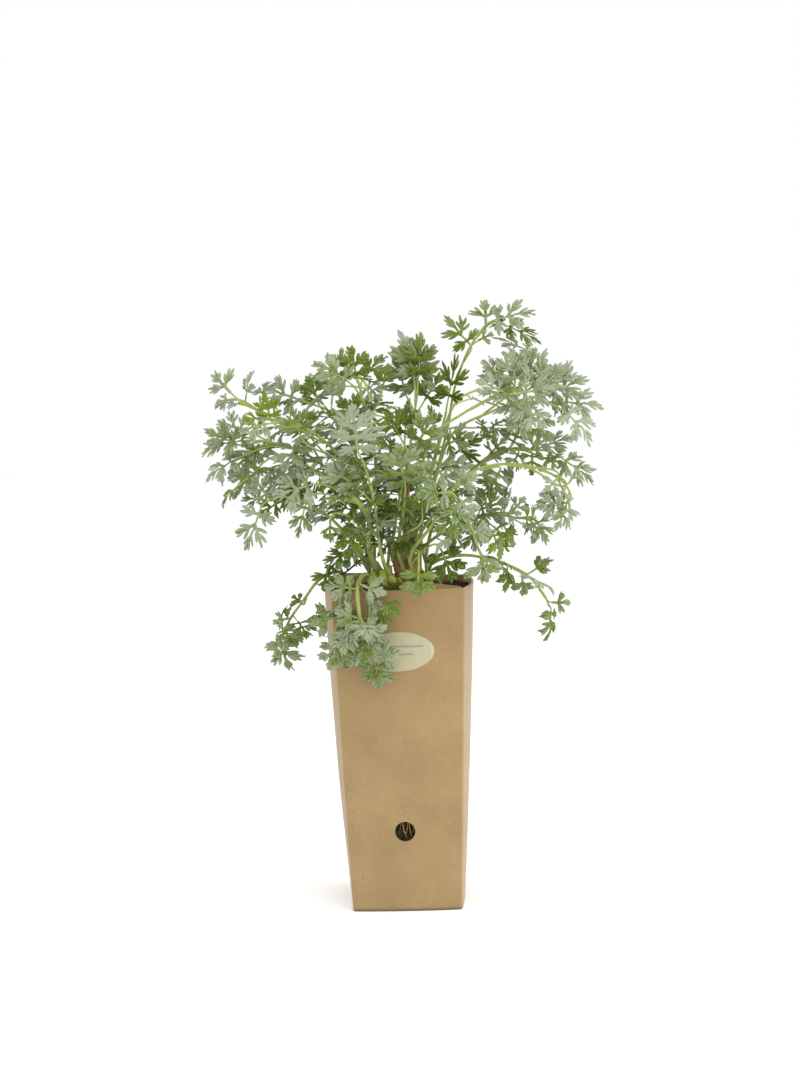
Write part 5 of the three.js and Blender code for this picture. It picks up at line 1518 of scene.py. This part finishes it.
def bulb(foot, top, low, high, rings=16):
    """A short stem that is swollen low down, with a soft ripple."""
    middle = [a * (1 - share) + b * share for a, b, share in zip(foot, top, BULB_MIDDLE)]

    def radius_at(ring, angle):
        share = ring / rings
        swell = high + (low - high) * (1 - share ** 2.2) ** 1.4
        return swell * (1 + 0.1 * math.sin(9 * share + low) + 0.09 * math.sin(2 * angle + low))
    return smooth_route([foot, middle, top], rings + 1), radius_at


pale_green = mottled_finish("pale_crown", 0.55, 0.35, (130, 140, 36), (176, 186, 84), 190, 0.35, 0.65,
                            depth=0.0004)
finish_piece(joined_sweeps("green_crown", [bulb(*part) for part in CROWN], pale_green), "felt")

# %% Old wood beside the crown
OLD_WOOD = {"route": [(6, -22, 193), (3, -22, 204), (0, -20, 215), (-4, -17, 229)], "rings": 70, "sides": 26,
            "radius": (4.4, 3.2), "around": 1.4, "along": 11, "flakes": ((0.28, 1.7), (0.16, 4.3))}


def old_wood_radius(ring, angle):
    share = ring / OLD_WOOD["rings"]
    low, high = OLD_WOOD["radius"]
    return (low + (high - low) * share) * (1 + flaky(OLD_WOOD, share, angle)) * min(1, 0.35 + 6 * (1 - share))


old_wood_route = smooth_route(OLD_WOOD["route"], OLD_WOOD["rings"] + 1)
finish_piece(joined_sweeps("old_wood", [(old_wood_route, old_wood_radius)], bark, OLD_WOOD["sides"]), "bark")

# %% Inner flap of the pot
# inside is the flap's share of the inner board colour, which is painted lighter for the shade in the pot.
FLAP = {"from": 19, "to": 38.5, "foot": 192, "top": (203.4, 200.4), "lean": 5.5, "board": 0.9, "gap": 0.4,
        "corner": (0.15, 4), "inside": 0.8, "columns": 16, "rows": 7}


def slab(columns, rows, place):
    """Points and faces of a thin closed grid. place gives the point of a layer, row and column."""
    points = [place(layer, row, column)
              for layer in (0, 1) for row in range(rows) for column in range(columns)]
    size, faces = columns * rows, []
    for row in range(rows - 1):
        for a in range(columns * row, columns * row + columns - 1):
            square = (a, a + 1, a + columns + 1, a + columns)
            faces += [square, tuple(i + size for i in reversed(square))]
    rim = [*range(columns), *range(2 * columns - 1, size, columns),
           *reversed(range(size - columns, size - 1)), *reversed(range(columns, size - columns, columns))]
    faces += [(a, a + size, b + size, b) for a, b in zip(rim, rim[1:] + rim[:1])]
    return points, faces


def flap_place(layer, row, column):
    """A tongue of board behind the front rim. It leans inwards to the soil."""
    share, rise = column / (FLAP["columns"] - 1), row / (FLAP["rows"] - 1)
    x = FLAP["from"] + (FLAP["to"] - FLAP["from"]) * share
    top = FLAP["top"][0] + (FLAP["top"][1] - FLAP["top"][0]) * share
    width, drop = FLAP["corner"]
    top -= drop * max(0, width - share) / width
    y = front_at(x, FLAP["foot"]) + POT["board"] + FLAP["gap"] + FLAP["lean"] * rise ** 2 * (1 - 0.5 * share)
    return x, y + layer * FLAP["board"], FLAP["foot"] + (top - FLAP["foot"]) * rise


flap_points, flap_faces = slab(FLAP["columns"], FLAP["rows"], flap_place)
finish_piece(new_piece("inner_flap", flap_points, flap_faces, kraft,
                       {"inside": [FLAP["inside"]] * len(flap_points)}), "board")

# %% Dry stick
STICK = [(-17, -17, 221), (-24, -22, 216), (-31, -29, 211), (-37.5, -35, 207.3), (-43, -38, 204.4)]
dry = mottled_finish("dark_dry_stick", 0.85, 0.2, (40, 34, 22), (84, 76, 50), 800, 0.4, 0.65, depth=0.0003)


def stick_radius(ring, angle):
    return 0.75 - 0.008 * ring + 0.06 * math.sin(ring)


finish_piece(joined_sweeps("dry_stick", [(smooth_route(STICK, 40), stick_radius)], dry, 8), "bark")

# %% Yellowed leaflets
WITHERED = [  # base and tip of the blade, foot of the stalk
    ((9, -27, 226), (12, -29, 216), (4, -12, 222)),
    ((12, -29, 217), (10, -32, 207), (5, -14, 212)),
]
WITHERED_SEED = 613


def withered_leaflets(finish):
    parts = []
    for number, (base, tip, foot) in enumerate(WITHERED):
        one = {"base": np.array(base, float), "tip": np.array(tip, float), "lobes": 3, "breadth": 1.3,
               "spread": 0.9, "tilt": 60, "facing": FRONT, "roll": 0.3, "arch": 0.9, "cup": 0.5, "curl": -0.5,
               "young": 1, "tint": 0}
        one["length"] = float(np.linalg.norm(one["tip"] - one["base"]))
        parts += [leaf_sheet(one, seeded_draws(WITHERED_SEED + number))[:2],
                  swept(smooth_route([foot, base], 8), lambda ring, angle: 0.5, 6)]
    return new_piece("yellowed_leaflets", *joined(parts), finish)


withered = mottled_finish("withered_leaf", 0.8, 0.15, (172, 152, 72), (142, 138, 60), 420, 0.4, 0.6,
                          depth=0.0003)
finish_piece(withered_leaflets(withered), "felt")

# %% Moss on the soil
MOSS = {"from": (-20, -41.5), "size": (30, 8), "layers": (-0.2, -0.9), "columns": 14, "rows": 5,
        "density": 3.5e6, "seed": 23, "below": 1.2, "tumble": 0.9, "kinds": 3}
moss = mottled_finish("moss", 0.9, 0.15, (96, 116, 30), (136, 140, 62), 500, 0.4, 0.6, detail=2)


def moss_blade(name, lean):
    points = []
    for level in range(3):
        radius = 0.16 - 0.07 * level
        points += [(math.cos(k * math.tau / 3) * radius,
                    math.sin(k * math.tau / 3) * radius + lean * level ** 2, 1.6 * level) for k in range(3)]
    return new_mesh(name, points, bands(3, 3) + [(2, 1, 0), (6, 7, 8)], moss)


def moss_place(layer, row, column):
    """A pad that follows the soil at the front rim."""
    x = MOSS["from"][0] + MOSS["size"][0] * column / (MOSS["columns"] - 1)
    y = MOSS["from"][1] + MOSS["size"][1] * row / (MOSS["rows"] - 1)
    return x, y, soil_height(x, y) + MOSS["layers"][layer]


moss_patch = new_piece("moss_patch", *slab(MOSS["columns"], MOSS["rows"], moss_place), moss)
moss_blades = stored_parts("moss_blades", [moss_blade(f"moss_blade_{k}", 0.25 * (k - 1))
                                           for k in range(MOSS["kinds"])])
moss_tree.grow(moss_patch, Density=MOSS["density"], Seed=MOSS["seed"], Least=0.5, Most=1.1,
               Level=(SOIL["level"] - MOSS["below"]) * MM, Lumps=moss_blades, Finish=moss.material,
               Tumble=MOSS["tumble"])
finish_piece(moss_patch, "felt")

# %% [markdown]
# ## Roots behind the air hole
#
# Through the hole the root ball shows as a dark hollow with a few pale root strands across it. A
# curve with a bevel could make them. They are thin sweeps like the stick, because the same helper
# serves, and they start and end in the soil, so that no end is seen.

# %% Root strands
ROOTS = [  # x, lean, depth and radius of each strand
    (-3.9, 1.2, -31.6, 0.32), (-0.6, -1.0, -32.4, 0.5), (0.7, 0.8, -31.2, 0.35), (3.0, -0.6, -32.0, 0.42),
    (4.6, 0.9, -30.8, 0.28), (-2.2, 1.8, -30.2, 0.3),
]
ROOT_REACH = 8.5  # how far the strands go above and below the middle of the hole
root = mottled_finish("pale_root", 0.8, 0.2, (120, 96, 62), (176, 150, 108), 900, 0.35, 0.65)
root_routes = []
for x, lean, y, radius in ROOTS:
    low, high = AIR_HOLE["height"] - ROOT_REACH, AIR_HOLE["height"] + ROOT_REACH
    knots = [(x - lean, y + 6, low - 2), (x - lean, y + 1, low + 4), (x + 0.4 * lean, y, AIR_HOLE["height"]),
             (x + lean, y + 1.2, high - 4), (x + lean, y + 6, high + 2)]
    root_routes.append((smooth_route(knots, 26),
                        lambda ring, angle, r=radius: r * (1 + 0.12 * math.sin(ring * 1.3))))
finish_piece(joined_sweeps("root_strands", root_routes, root, 8), "soil")

# %% Number of pieces
print("pieces:", len(pieces))
